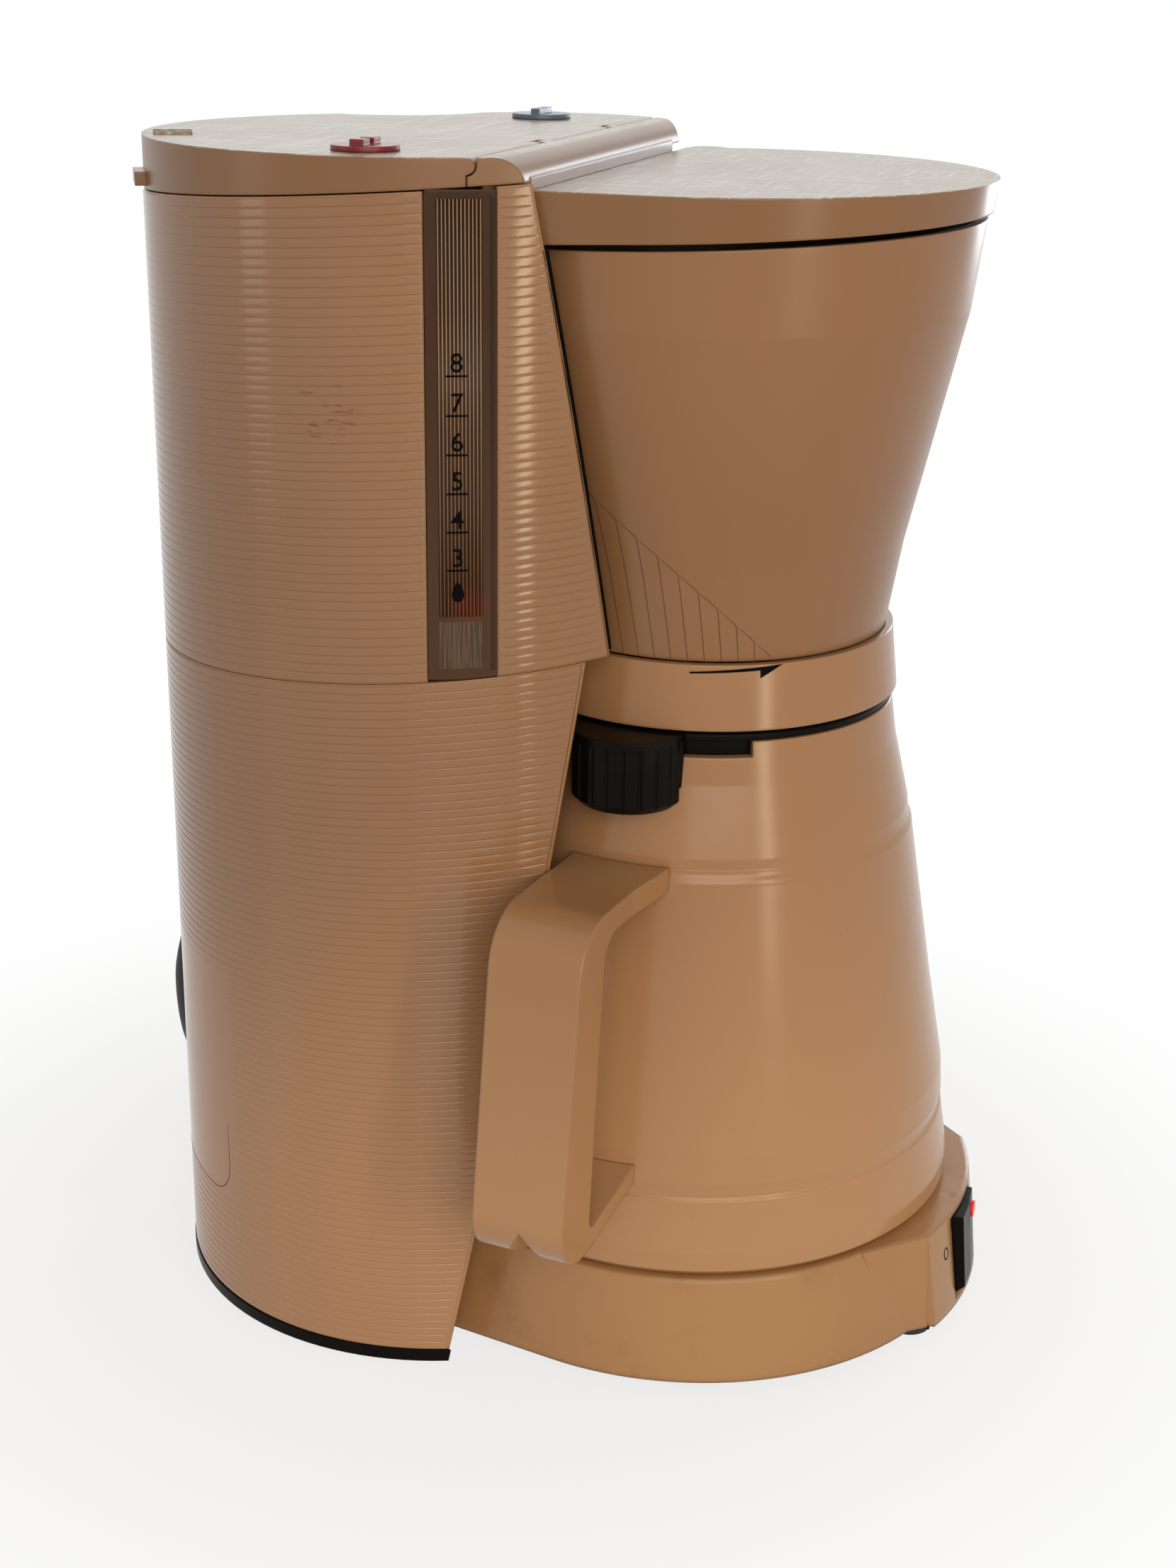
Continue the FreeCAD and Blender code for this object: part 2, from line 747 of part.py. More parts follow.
def column_housing():
    low = plate_top + 0.05
    form = outline("column_outer", as_size(0), low, s.waist_height + 20)
    over = above("column_over", s.tank_seam_height - s.seam, s.seam_slant)
    outer = cut("column_form", form, over, carafe_recess("column_front", as_size(0)),
                cord_bay("column_bay", as_size(0)))
    inside = cut("column_inside", outline("column_inner", s.wall, 0, s.waist_height + 40),
                 carafe_recess("column_front_back", s.wall), cord_bay("column_bay_back", s.wall))
    half = s.heater_radius + 7
    doorway = block("column_doorway", (-half, half), (60, 112), (7.5, 29))
    gland_hole = cylinder_along("column_gland_hole", GLAND_RADIUS + 0.05, GLAND_FOOT - GLAND_WAY * 8,
                                GLAND_WAY, 12)
    shell = cut("column_shell", outer, inside, doorway, gland_hole)
    bosses = [cylinder(f"column_boss{number}", s.boss_radius, low, boss_top, x, y)
              for number, (x, y) in enumerate(COLUMN_SCREWS)]
    ribs = []
    for number, ((x, y), angle, length) in enumerate(zip(COLUMN_SCREWS, (BOSS_ANGLE, 21.8), (18, 12))):
        ribs.append(radial_block(f"column_rib{number}", (as_size(x), as_size(y)), angle,
                                 (as_size(0), as_size(length)),
                                 3, (low, boss_top)))
    body = fuse("column_body", shell, *bosses, *ribs)
    return cut("column_housing", body, *boss_bores("column", COLUMN_SCREWS))


# Tank: the upper half of the tower
riser_x = s.heater_radius
riser_angle = arctangent(s.riser_back / riser_x)
gauge_half = s.gauge_angle / 2


def sector(name, radius, low, high, middle, half):
    """A wedge of a round about the tower's axis."""
    obj = doc.addObject("Part::Cylinder", name)
    obj.Placement = FreeCAD.Placement(Vector(), FreeCAD.Rotation(Z_AXIS, (middle - half).number))
    bind(obj, "Placement.Rotation.Angle", middle - half)
    bind(obj, "Radius", radius)
    bind(obj, "Angle", 2 * half)
    bind(obj, "Height", as_size(high) - low)
    return place(obj, s.tower_x, s.tower_y, low)


def gauge_band(name, inner, outer, low, high, half):
    return cut(name, sector(name + "_wedge", outer, low, high, s.gauge_middle, half),
               cylinder(name + "_core", inner, as_size(low) - 5, as_size(high) + 5, s.tower_x, s.tower_y))


gauge_bottom = s.tank_seam_height - 2.6
gauge_top = s.lid_seam_height - 4.2
NEAR_STRIP = -60.0


def tank():
    form = outline("tank_outer", as_size(0), s.waist_height - 24, s.tower_top + 10)
    under = below("tank_under", s.tank_seam_height, s.seam_slant)
    over = above("tank_over", s.lid_seam_height - s.gap, s.seam_slant)
    front = block("tank_front", (NEAR_STRIP, FAR), (-FAR, s.bridge_front), (s.ceiling_top, FAR))
    outer = cut("tank_form", form, under, over, front, cone_nest("tank_nest", as_size(0)))
    grow = s.wall
    room = cylinder("tank_room", s.tower_radius - grow, s.tank_floor, s.tower_top + 20, s.tower_x,
                    s.tower_y)
    shaft_wall = cylinder("tank_shaft_wall", s.lobe_radius, 0, FAR, s.lobe_x, s.lobe_y)
    flute_wall = cylinder("tank_flute_wall", s.flute_radius + grow, 0, FAR, s.flute_x, s.flute_y)
    water = cut("tank_water", room, shaft_wall, flute_wall, cone_nest("tank_nest_back", grow))
    shaft_room = cylinder("tank_shaft_room", s.lobe_radius - grow, 0, FAR, s.lobe_x, s.lobe_y)
    flute_back = cylinder("tank_flute_back", s.flute_radius + grow, 0, FAR, s.flute_x, s.flute_y)
    shaft = cut("tank_shaft", shaft_room, flute_back, cone_nest("tank_nest_side", grow))
    slot = gauge_band("tank_slot", s.tower_radius - s.wall - 0.6, s.tower_radius + 5, gauge_bottom - 6,
                      s.tower_top, gauge_half + 0.1)
    outlet = cylinder("tank_outlet", s.hose_radius + s.seam, 0, s.tank_floor + 1, -riser_x, s.hose_back)
    notch = radial_block("tank_notch", brew_axis, riser_angle, (as_size(60), as_size(92)),
                         2 * s.pipe_radius + 1, (s.ceiling_top - 1, s.tower_top))
    bridge_room = common("tank_bridge_room", outline("tank_bridge_limit", s.wall, s.ceiling_top,
                                                     s.tower_top),
                         block("tank_bridge_span", (-FAR, FAR), (0, s.bridge_back + s.seam), (0, FAR)))
    return cut("water_tank", outer, water, shaft, slot, outlet, notch, bridge_room)


def gauge_window():
    window = gauge_band("gauge_plate", s.tower_radius - s.wall - 0.45, s.tower_radius + 0.2, gauge_bottom,
                        gauge_top,
                        gauge_half - 0.02)
    under = below("gauge_under", s.tank_seam_height + s.seam, s.seam_slant)
    return cut("gauge_window", window, under)


# Head: the bridge over the tank's front, and the cover over the filter
lid_axis_y = s.bridge_back + s.gap + s.lid_edge
lid_axis_z = s.tower_top - s.lid_edge


def bridge():
    """A rolled sill along the front of the tank, with a seat for the lid's own roll behind it."""
    back = lid_axis_y - s.gap
    web_top = s.lid_seam_height - 1
    crown = cut("bridge_crown",
                common("bridge_block", outline("bridge_outer", as_size(0), s.ceiling_top, s.tower_top),
                       block("bridge_crown_span", (-FAR, FAR), (s.bridge_front, back),
                             (s.ceiling_top, s.tower_top))),
                below("bridge_under", s.lid_seam_height, s.seam_slant),
                level_cylinder("bridge_seat", s.lid_edge + s.gap, -FAR, FAR, lid_axis_y, lid_axis_z),
                block("bridge_seat_top", (-FAR, FAR), (s.bridge_back, FAR), (lid_axis_z, FAR)),
                cut("bridge_off", block("bridge_corner", (-FAR, FAR), (0, s.bridge_front + s.bridge_roll),
                                        (s.tower_top - s.bridge_roll, FAR)),
                    level_cylinder("bridge_round", s.bridge_roll, -FAR, FAR, s.bridge_front + s.bridge_roll,
                                   s.tower_top - s.bridge_roll)))
    web = common("bridge_web", outline("bridge_inner", s.wall + 0.7, s.ceiling_top + s.seam, web_top),
                 block("bridge_web_span", (-FAR, FAR), (s.bridge_front, s.bridge_back),
                       (s.ceiling_top + s.seam, web_top)))
    lugs = []
    bores = []
    for side in (-1, 1):
        low = side * s.lid_lug_place - s.lid_lug_width / 2
        high = side * s.lid_lug_place + s.lid_lug_width / 2
        tag = "near" if side < 0 else "far"
        lugs.append(block(f"bridge_lug_{tag}", (low, high), (s.bridge_back - 1, lid_axis_y),
                          (lid_axis_z - s.lid_edge, s.tower_top)))
        lugs.append(level_cylinder(f"bridge_knuckle_{tag}", s.lid_edge, low, high, lid_axis_y, lid_axis_z))
        bores.append(level_cylinder(f"bridge_bore_{tag}", s.lid_pin_radius + 0.01, low - 1, high + 1,
                                    lid_axis_y, lid_axis_z))
    way = radial_block("bridge_way", brew_axis, riser_angle, (as_size(20), as_size(50)),
                       2 * s.pipe_radius + 1, (s.ceiling_top - 1, s.run_height + s.pipe_radius + 0.5))
    return cut("bridge", fuse("bridge_body", crown, web, *lugs), way, *bores)


cover_flare = (s.cover_radius - s.cover_low_radius) / (s.cover_top - s.cover_seam_height)


def cover_wing(name, low, low_radius):
    """The cover's near side, which leaves its round at a tangent and runs back along the tank's edge."""
    inner = NEAR_STRIP + 10
    end = s.bridge_front - s.seam
    foot = ((-low_radius, 0), (-low_radius, end), (inner, end), (inner, 0))
    head = ((-s.cover_radius, 0), (-s.cover_radius, end), (inner, end), (inner, 0))
    return common(name, tapered(name + "_form", foot, head, low, s.cover_top),
                  cone_nest(name + "_limit", -s.seam))


def filter_cover():
    low = s.cover_seam_height - 10
    low_radius = s.cover_low_radius - 10 * cover_flare
    round_cap = cone("cover_round", low_radius, s.cover_radius, low, s.cover_top)
    cap = fuse("cover_cap", round_cap, cover_wing("cover_wing", low, low_radius))
    under = below("cover_under", s.cover_seam_height, s.cover_slant)
    behind = block("cover_behind", (-FAR, FAR), (s.bridge_front - s.seam, FAR), (s.ceiling_top, FAR))
    hollow = common("cover_hollow", cylinder("cover_room", s.cover_low_radius - s.wall, 0,
                                             s.cover_top - s.wall),
                    block("cover_room_span", (-FAR, FAR), (-FAR, s.bridge_front - s.wall), (0, FAR)))
    body = cut("cover_body", cap, under, behind, hollow)
    boss = cut("cover_boss", cylinder("cover_ear", s.hinge_radius, s.cover_seam_height - 10, s.cover_top,
                                      s.hinge_x, s.hinge_y),
               below("cover_boss_under", s.cover_seam_height, s.cover_slant))
    bore = cylinder("cover_bore", s.hinge_pin_radius + 0.01, 0, s.cover_top - 2, s.hinge_x, s.hinge_y)
    way = radial_block("cover_way", brew_axis, riser_angle, (as_size(10), as_size(50)),
                       2 * s.pipe_radius + 1,
                       (s.ceiling_top - 4, s.run_height + s.pipe_radius + 0.5))
    return cut("filter_cover", fuse("cover_whole", body, boss), bore, way)


# Lid with its rolled front edge, hinged on the bridge
def tank_lid():
    low = s.lid_seam_height - 30
    form = common("lid_form", outline("lid_outer", as_size(0), low, s.tower_top),
                  block("lid_span", (-FAR, FAR), (lid_axis_y, FAR), (0, FAR)))
    skirt = cut("lid_skirt", form, below("lid_under", s.lid_seam_height, s.seam_slant),
                cut("lid_room", outline("lid_inner", s.wall, low - 5, s.tower_top - s.wall),
                    block("lid_front_wall", (-FAR, FAR), (-FAR, lid_axis_y + s.wall),
                          (s.tower_top - 2 * s.lid_edge, FAR))))
    roll = common("lid_roll", level_cylinder("lid_roll_bar", s.lid_edge, -FAR, FAR, lid_axis_y, lid_axis_z),
                  outline("lid_roll_limit", as_size(0), low, s.tower_top))
    tab = radial_block("lid_tab", tower_axis, 270 - 150, (s.tower_radius - 3, s.tower_radius + 2.5), 14,
                       (s.lid_seam_height - 8.5, s.lid_seam_height - 5.0))
    ridges = [radial_block(f"lid_ridge{number}", tower_axis, 270 - 152 + 3.4 * (number - 1),
                           (s.tower_radius - 13, s.tower_radius - 3), 1.0,
                           (s.tower_top - 1, s.tower_top + 0.7))
              for number in range(3)]
    tools = []
    for side in (-1, 1):
        tag = "near" if side < 0 else "far"
        low_x = side * s.lid_lug_place - s.lid_lug_width / 2 - s.gap
        high_x = side * s.lid_lug_place + s.lid_lug_width / 2 + s.gap
        tools.append(block(f"lid_notch_{tag}", (low_x, high_x), (0, lid_axis_y + s.lid_edge + s.gap),
                           (0, FAR)))
        tools.append(level_cylinder(f"lid_bore_{tag}", s.lid_pin_radius + s.fit, low_x - 6, high_x + 6,
                                    lid_axis_y, lid_axis_z))
    tools.append(cylinder("lid_red_hole", s.dial_stem + s.fit, 0, FAR, s.red_dial_x, s.red_dial_y))
    tools.append(cylinder("lid_blue_hole", s.dial_stem + s.fit, 0, FAR, s.blue_dial_x, s.blue_dial_y))
    return cut("tank_lid", fuse("lid_body", skirt, roll, tab, *ridges), *tools)


def lid_pins():
    pins = []
    for side in (-1, 1):
        tag = "near" if side < 0 else "far"
        low = side * s.lid_lug_place - s.lid_lug_width / 2 - 5
        high = side * s.lid_lug_place + s.lid_lug_width / 2 + 5
        pins.append(level_cylinder(f"lid_pin_{tag}", s.lid_pin_radius, low, high, lid_axis_y, lid_axis_z))
    return compound("lid_hinge_pins", pins)


def dial(name, x, y, grips):
    """A round flange on a stem, with raised grips."""
    base = s.tower_top + 0.1
    flange = cylinder(name + "_flange", s.dial_radius, base, base + 1.3, x, y)
    foot = s.tower_top - s.wall - 3
    stem = cylinder(name + "_stem", s.dial_stem, foot, base + 1, x, y)
    clip = cylinder(name + "_clip", s.dial_stem + 1.4, foot, s.tower_top - s.wall - 0.5, x, y)
    lumps = [block(f"{name}_grip{number}", (x + left, x + right), (y + front, y + back),
                   (base + 1, base + 2.8))
             for number, (left, right, front, back) in enumerate(grips)]
    return fuse(name, flange, stem, clip, *lumps)


# Filter carrier: the ring under the cone with its funnel and the drip stop's guide
hinge_angle = arctangent(s.hinge_y / s.hinge_x)
hinge_reach = s.hinge_x / cosine(hinge_angle)


def filter_carrier():
    low = s.carrier_bottom
    top = s.carrier_top
    ring = turned("carrier_ring", (
        (s.valve_hole_radius, low), (14, low), (16, low + 2.4), (49, low + 10.4),
        (s.carrier_low_radius - s.wall, low),
        (s.carrier_low_radius, low), (s.carrier_top_radius, top), (s.carrier_top_radius - s.wall, top),
        (s.carrier_top_radius - s.wall - 0.6, top - 4.4), (9, low + 4.4), (s.valve_hole_radius, low + 4.2)))
    web_slab = cut("carrier_slab", carafe_recess("carrier_slab_cone", -s.seam),
                   block("carrier_slab_low", (-FAR, FAR), (-FAR, FAR), (-FAR, low)),
                   block("carrier_slab_high", (-FAR, FAR), (-FAR, FAR), (top, FAR)),
                   block("carrier_slab_front", (-FAR, FAR), (-FAR, 26), (-FAR, FAR)),
                   above("carrier_slab_over", s.tank_seam_height - 3 * s.seam, s.seam_slant),
                   cylinder("carrier_slab_core", s.carrier_top_radius - 1.2, 0, FAR))
    ear_arm = radial_block("carrier_arm", brew_axis, hinge_angle, (as_size(53), hinge_reach), 9,
                           (low + 4, top))
    ear = cylinder("carrier_ear", s.hinge_radius, low + 4, top, s.hinge_x, s.hinge_y)
    beam = block("carrier_beam", (-s.carrier_top_radius + 3, s.carrier_top_radius - 3), (-4.5, 4.5),
                 (s.guide_bottom, s.guide_top))
    guide = cylinder("carrier_guide", s.plunger_radius + s.fit, s.guide_bottom - 1, s.guide_top + 1)
    bore = cylinder("carrier_bore", s.hinge_pin_radius + 0.01, low + 6, top + 1, s.hinge_x, s.hinge_y)
    return cut("filter_carrier", fuse("carrier_body", ring, web_slab, ear_arm, ear, beam), guide, bore)


def filter_basket():
    outer = ((s.basket_low_radius, s.basket_bottom), (s.basket_mid_radius, s.basket_mid_height),
             (s.basket_high_radius, s.basket_high_height), (s.basket_rim_radius, s.basket_rim_height))
    inner = [(radius - s.wall, height) for radius, height in reversed(outer[1:])]
    floor = s.basket_bottom + s.wall
    bowl = turned("basket_bowl", (*outer, *inner, (s.basket_low_radius - s.wall, floor + 1),
                                  (s.drain_radius, floor),
                                  (s.drain_radius, s.basket_bottom)))
    over = above("basket_over", s.cover_seam_height - s.basket_seam_drop, s.cover_slant)
    lug_top = s.basket_high_height + 15
    lugs = []
    for tag, low, start in (("low", s.basket_bottom, as_size(49.5)),
                            ("high", lug_top - s.lug_height, as_size(68.5))):
        lugs.append(cylinder(f"basket_barrel_{tag}", s.hinge_radius, low, low + s.lug_height, s.hinge_x,
                             s.hinge_y))
        lugs.append(radial_block(f"basket_arm_{tag}", brew_axis, hinge_angle, (start, hinge_reach), 8,
                                 (low, low + s.lug_height)))
    room = turned("basket_room", ((0, floor + 2), *reversed(inner), (0, s.basket_rim_height)))
    bores = cylinder("basket_bores", s.hinge_pin_radius + s.fit, 0, FAR, s.hinge_x, s.hinge_y)
    return cut("filter_basket", fuse("basket_body", bowl, *lugs), over, room, bores)


def basket_pins():
    lug_top = s.basket_high_height + 15
    low = cylinder("basket_pin_low", s.hinge_pin_radius, s.carrier_bottom + 6.2,
                   s.basket_bottom + s.lug_height - 0.5,
                   s.hinge_x, s.hinge_y)
    high = cylinder("basket_pin_high", s.hinge_pin_radius, lug_top - s.lug_height + 0.5, s.cover_top - 2.2,
                    s.hinge_x, s.hinge_y)
    return compound("basket_hinge_pins", [low, high])


# Drip stop
plunger_seat = s.carrier_bottom + 4.5


def drip_plunger():
    tip = s.lid_top + s.gap
    head = plunger_seat + 1.5
    return turned("drip_plunger", (
        (0, tip), (2.2, tip), (s.plunger_radius, tip + 0.8), (s.plunger_radius, head), (7, head),
        (7, head + 1.6),
        (s.plunger_radius, head + 1.6), (s.plunger_radius, s.guide_bottom + 2), (0, s.guide_bottom + 2)))


def drip_seal():
    return turned("drip_seal", ((s.plunger_radius + 0.1, plunger_seat), (6.6, plunger_seat),
                                (6.6, plunger_seat + 1.45),
                                (s.plunger_radius + 0.1, plunger_seat + 1.45)))


def drip_spring():
    low = plunger_seat.number + 3.1 + s.spring_wire.number / 2 + 0.05
    high = s.guide_bottom.number - s.spring_wire.number / 2 - 0.05
    radius = s.plunger_radius.number + 1.6
    turns = s.spring_turns.number

    def helix(turn):
        angle = 2 * math.pi * turn
        return Vector(radius * math.cos(angle), radius * math.sin(angle), low + (high - low) * turn / turns)

    report_gap("spring", helix, turns, s.spring_wire.number)
    return solid("drip_spring", swept(Part.Wire(Part.__sortEdges__(winding_path(helix, turns))),
                                      s.spring_wire.number / 2))


def report_gap(name, place_at, turns, thick):
    """Print the least gap of a winding to itself, measured on points over half a turn apart."""
    step = 1 / 48
    count = int(turns / step)
    points = [place_at(number * step) for number in range(count + 1)]
    least = min((points[a] - points[b]).Length for a in range(count + 1) for b in range(a + 24, count + 1))
    print(f"{name}: least gap to itself {least - thick:.2f} mm")


# Water path
def heater():
    """A water tube and a heating rod side by side, bent as a U whose legs end under the tower."""
    pieces = []
    for name, ring, thick in (("heater_tube", s.heater_radius, s.heater_tube),
                              ("heater_rod", s.heater_radius - s.heater_tube - s.heater_rod + 1.0,
                               s.heater_rod)):
        torus = doc.addObject("Part::Torus", name)
        torus.Placement = FreeCAD.Placement(Vector(), FreeCAD.Rotation(Z_AXIS, 180))
        bind(torus, "Radius1", ring)
        bind(torus, "Radius2", thick)
        bind(torus, "Angle3", 180)
        pieces.append(place(torus, 0, 0, s.heater_height))
        for side in (-1, 1):
            leg = doc.addObject("Part::Cylinder", name + ("_near_leg" if side < 0 else "_far_leg"))
            leg.Placement = FreeCAD.Placement(Vector(), FreeCAD.Rotation(X_AXIS, -90))
            bind(leg, "Radius", thick)
            bind(leg, "Height", s.heater_leg)
            pieces.append(place(leg, side * ring, 0, s.heater_height))
    return fuse("heater", *pieces)


def heater_bracket():
    low = s.heater_height + s.heater_tube + 0.05
    strap = block("bracket_strap", (-s.heater_radius - 6, s.heater_radius + 6), (-7, 7), (low, low + 1.5))
    hole = cylinder("bracket_hole", 4, 0, FAR)
    return cut("heater_bracket", strap, hole)


def thermostat():
    top = s.heater_height + s.heater_tube
    can = cylinder("thermostat_can", 9, top - 8, top)
    post = cylinder("thermostat_post", 3.9, top - 1, top + 2.4)
    return fuse("thermostat", can, post)


def thermal_fuse():
    radius = 2.2
    low = s.heater_height + s.heater_tube + 0.05 + 1.5
    return level_cylinder("thermal_fuse", radius, 16, 34, 0, low + radius)


def riser():
    height = s.heater_height.number
    x = riser_x.number
    top = s.run_height.number
    back = s.riser_back.number
    hub = SHOWER_HUB + 0.1
    way = Vector(x, back, 0).normalize()
    points = [Vector(x, s.heater_leg.number + 0.2, height), Vector(x, back, height), Vector(x, back, top),
              way * hub
              + Vector(0, 0, top)]
    path, _ = rounded_path(points, 14)
    return solid("riser_pipe", hose(path, s.pipe_radius.number, s.pipe_bore.number))


SHOWER_HUB = 9.0
hose_top = s.tank_seam_height - 12


def inlet_hose():
    height = s.heater_height.number
    x = -riser_x.number
    back = s.hose_back.number
    points = [Vector(x, s.heater_leg.number + 0.2, height), Vector(x, back, height),
              Vector(x, back, hose_top.number)]
    path, _ = rounded_path(points, 20)
    return solid("inlet_hose", hose(path, s.hose_radius.number, s.hose_radius.number - 2))


def check_valve():
    low = hose_top + 0.05
    body = cylinder("valve_body", s.hose_radius, low, s.tank_floor + 4, -riser_x, s.hose_back)
    flange = cylinder("valve_flange", s.hose_radius + 3, s.tank_floor + 0.05, s.tank_floor + 2, -riser_x,
                      s.hose_back)
    bore = cylinder("valve_bore", s.hose_radius - 2, 0, FAR, -riser_x, s.hose_back)
    return cut("check_valve", fuse("valve_form", body, flange), bore)


def shower_head():
    low = s.ceiling_top - 2.4
    holes = 10
    drops = [cylinder(f"shower_hole{number}", 1.4, low - 1, low + 5, 15 * cosine(360 / holes * number),
                      15 * sine(360 / holes * number)) for number in range(holes)]
    disc = cut("shower_disc", cylinder("shower_plate", s.shower_radius, low, low + 1.8), *drops)
    hub = cylinder("shower_hub", SHOWER_HUB, low, s.cover_top - s.wall - 0.05)
    radians = math.radians(riser_angle.number)
    inlet = cylinder_along("shower_inlet", s.pipe_bore, Vector(0, 0, s.run_height.number),
                           Vector(math.cos(radians), math.sin(radians), 0), 20)
    outlet = cylinder("shower_outlet", 4, low - 1, s.run_height + s.pipe_bore + 0.5)
    return cut("shower_head", fuse("shower_form", disc, hub), inlet, outlet)


# Float and its rod behind the gauge
float_place = s.tower_radius - s.wall - s.float_radius - 2.5
float_x = s.tower_x + float_place * cosine(s.gauge_middle)
float_y = s.tower_y + float_place * sine(s.gauge_middle)


def water_float():
    low = s.tank_floor + s.gap
    drum = cylinder("float_drum", s.float_radius, low, low + s.float_height, float_x, float_y)
    bore = cylinder("float_bore", s.rod_radius + s.fit, 0, FAR, float_x, float_y)
    return cut("water_float", drum, bore)


def float_rod():
    return cylinder("float_rod", s.rod_radius, s.tank_floor, s.lid_seam_height - 12, float_x, float_y)


# Switch
ROCKER_LEAN = 1.1
ROCKER_CHAMFER = 40.0


def rocker_plan(shift):
    """The rocker's plan at one height: an almost flat face with a shallow ridge."""
    half = s.rocker_half
    face = half - 0.9
    front = s.rocker_pivot_y + shift
    back = s.rocker_pivot_y + 3.5
    middle = s.rocker_x
    return ((middle - half, back), (middle - face, front - 7.0), (middle, front - 7.3),
            (middle + face, front - 6.6), (middle + half, back))


def rocker():
    cap = tapered("rocker_cap", rocker_plan(-ROCKER_LEAN), rocker_plan(ROCKER_LEAN), s.rocker_bottom,
                  s.rocker_top)
    chamfer = below("rocker_chamfer", s.rocker_bottom + (s.rocker_pivot_y - 4) * tangent(ROCKER_CHAMFER),
                    ROCKER_CHAMFER)
    bore = cylinder("rocker_bore", s.rocker_pin_radius + s.fit, 0, FAR, s.rocker_x, s.rocker_pivot_y)
    lens_hole = lens_form("rocker_lens_hole", LENS_RADIUS + 0.05)
    return cut("rocker", cap, chamfer, bore, lens_hole)


LENS_RADIUS = 2.4
LENS_PLACE = 5.6


def lens_form(name, radius):
    obj = doc.addObject("Part::Cylinder", name)
    obj.Placement = FreeCAD.Placement(Vector(), FreeCAD.Rotation(X_AXIS, 90))
    bind(obj, "Radius", radius)
    bind(obj, "Height", 3.6)
    return place(obj, s.rocker_x + LENS_PLACE, s.rocker_pivot_y - 3.4, s.rocker_top - 4.9)


def switch_body():
    body = block("switch_case", (s.rocker_x - 11, s.rocker_x + 11),
                 (s.rocker_pivot_y + 8.2, s.rocker_pivot_y + 23),
                 (s.base_bottom, 28))
    tabs = [block(f"switch_tab{number}", (s.rocker_x + x, s.rocker_x + x + 5),
                  (s.rocker_pivot_y + 22, s.rocker_pivot_y + 30),
                  (14, 14.8))
            for number, x in enumerate((-8.5, 3.5))]
    return fuse("switch_body", body, *tabs)


def rocker_pin():
    return cylinder("rocker_pin", s.rocker_pin_radius, s.base_bottom + 0.5, s.base_top - 0.8, s.rocker_x,
                    s.rocker_pivot_y)


# Carafe
JUG_WAIST = ((69.4, 96.0), (64.6, 124.0))
COLLAR_WAIST = 55.0


def carafe_shell():
    low = s.carafe_band_top + s.seam
    wall = s.carafe_wall
    outer = ((s.waist_radius - 0.2, low), (s.waist_radius + 0.3, low + 4.5),
             (s.waist_radius - 0.3, low + 13),
             *JUG_WAIST, (s.shoulder_radius, s.carafe_shoulder - 1.5),
             (s.shoulder_radius - 1.0, s.carafe_shoulder - s.seam))
    inner = [(radius - wall, height) for radius, height in reversed(outer)]
    return turned("carafe_shell", (*outer, *inner))


def carafe_base():
    low = s.carafe_bottom
    wall = s.carafe_wall
    return turned("carafe_base", (
        (0, low), (s.band_radius - 1.8, low), (s.band_radius, low + 1.8), (s.band_radius, low + 7),
        (s.waist_radius + 0.4, s.carafe_band_top), (s.waist_radius - wall, s.carafe_band_top),
        (s.band_radius - wall, low + 7), (s.band_radius - wall, low + 3), (0, low + 3)))


def carafe_collar():
    low = s.carafe_shoulder
    top = s.carafe_top
    web = top - 7.8
    ring = turned("collar_ring", (
        (s.collar_low_radius - 2.4, low), (s.collar_low_radius + 0.4, low),
        (s.collar_low_radius, low + 4.5),
        (COLLAR_WAIST, low + 24), (s.collar_top_radius, top), (s.mouth_radius, top), (s.mouth_radius, web),
        (s.neck_radius + 1.6, web), (s.neck_radius + 1.6, web - 2.6), (51.5, web - 2.6),
        (s.collar_low_radius - 3.0, low + 4.5)))
    start = s.handle_angle - 16
    sweep = 32 + s.lid_turn
    notch = doc.addObject("Part::Cylinder", "collar_notch")
    notch.Placement = FreeCAD.Placement(Vector(), FreeCAD.Rotation(Z_AXIS, start.number))
    bind(notch, "Placement.Rotation.Angle", start)
    bind(notch, "Radius", 70)
    bind(notch, "Angle", sweep)
    bind(notch, "Height", 20)
    place(notch, 0, 0, top - 4.2)
    return cut("carafe_collar", ring, cut("collar_notch_ring", notch,
                                          cylinder("collar_notch_core", 46, 0, FAR)))


def vacuum_liner():
    """A double glass wall with the space between them open at the sealing tip underneath."""
    top = s.liner_top
    neck = s.neck_radius
    wide = s.liner_radius
    glass = s.glass_wall
    return turned("vacuum_liner", (
        (2.5, 42), (wide - 7, 42), (wide, 50), (wide - 10, 140), (neck, 160), (neck, top),
        (neck - 3 * glass, top),
        (neck - 3 * glass, 159), (wide - 16, 138), (wide - 6.5, 52), (wide - 11, 49), (0, 49), (0, 47),
        (wide - 10, 47), (wide - 4.5, 51.5), (wide - 14, 139), (neck - 2 * glass, 159.8),
        (neck - 2 * glass, top - glass),
        (neck - glass, top - glass), (neck - glass, 159.3), (wide - 12, 139.5), (wide - glass, 50.5),
        (wide - 8, 44),
        (2.5, 44)))


def liner_pad():
    low = s.carafe_bottom + 3
    return turned("liner_pad", ((28, low), (52, low), (52, 41.95), (28, 41.95)))


def liner_gasket():
    web = s.carafe_top - 7.8
    return turned("liner_gasket", ((s.neck_radius + 0.05, web + 0.05), (s.neck_radius + 5, web + 0.05),
                                   (s.neck_radius + 5, web + 2), (s.neck_radius + 0.05, web + 2)))


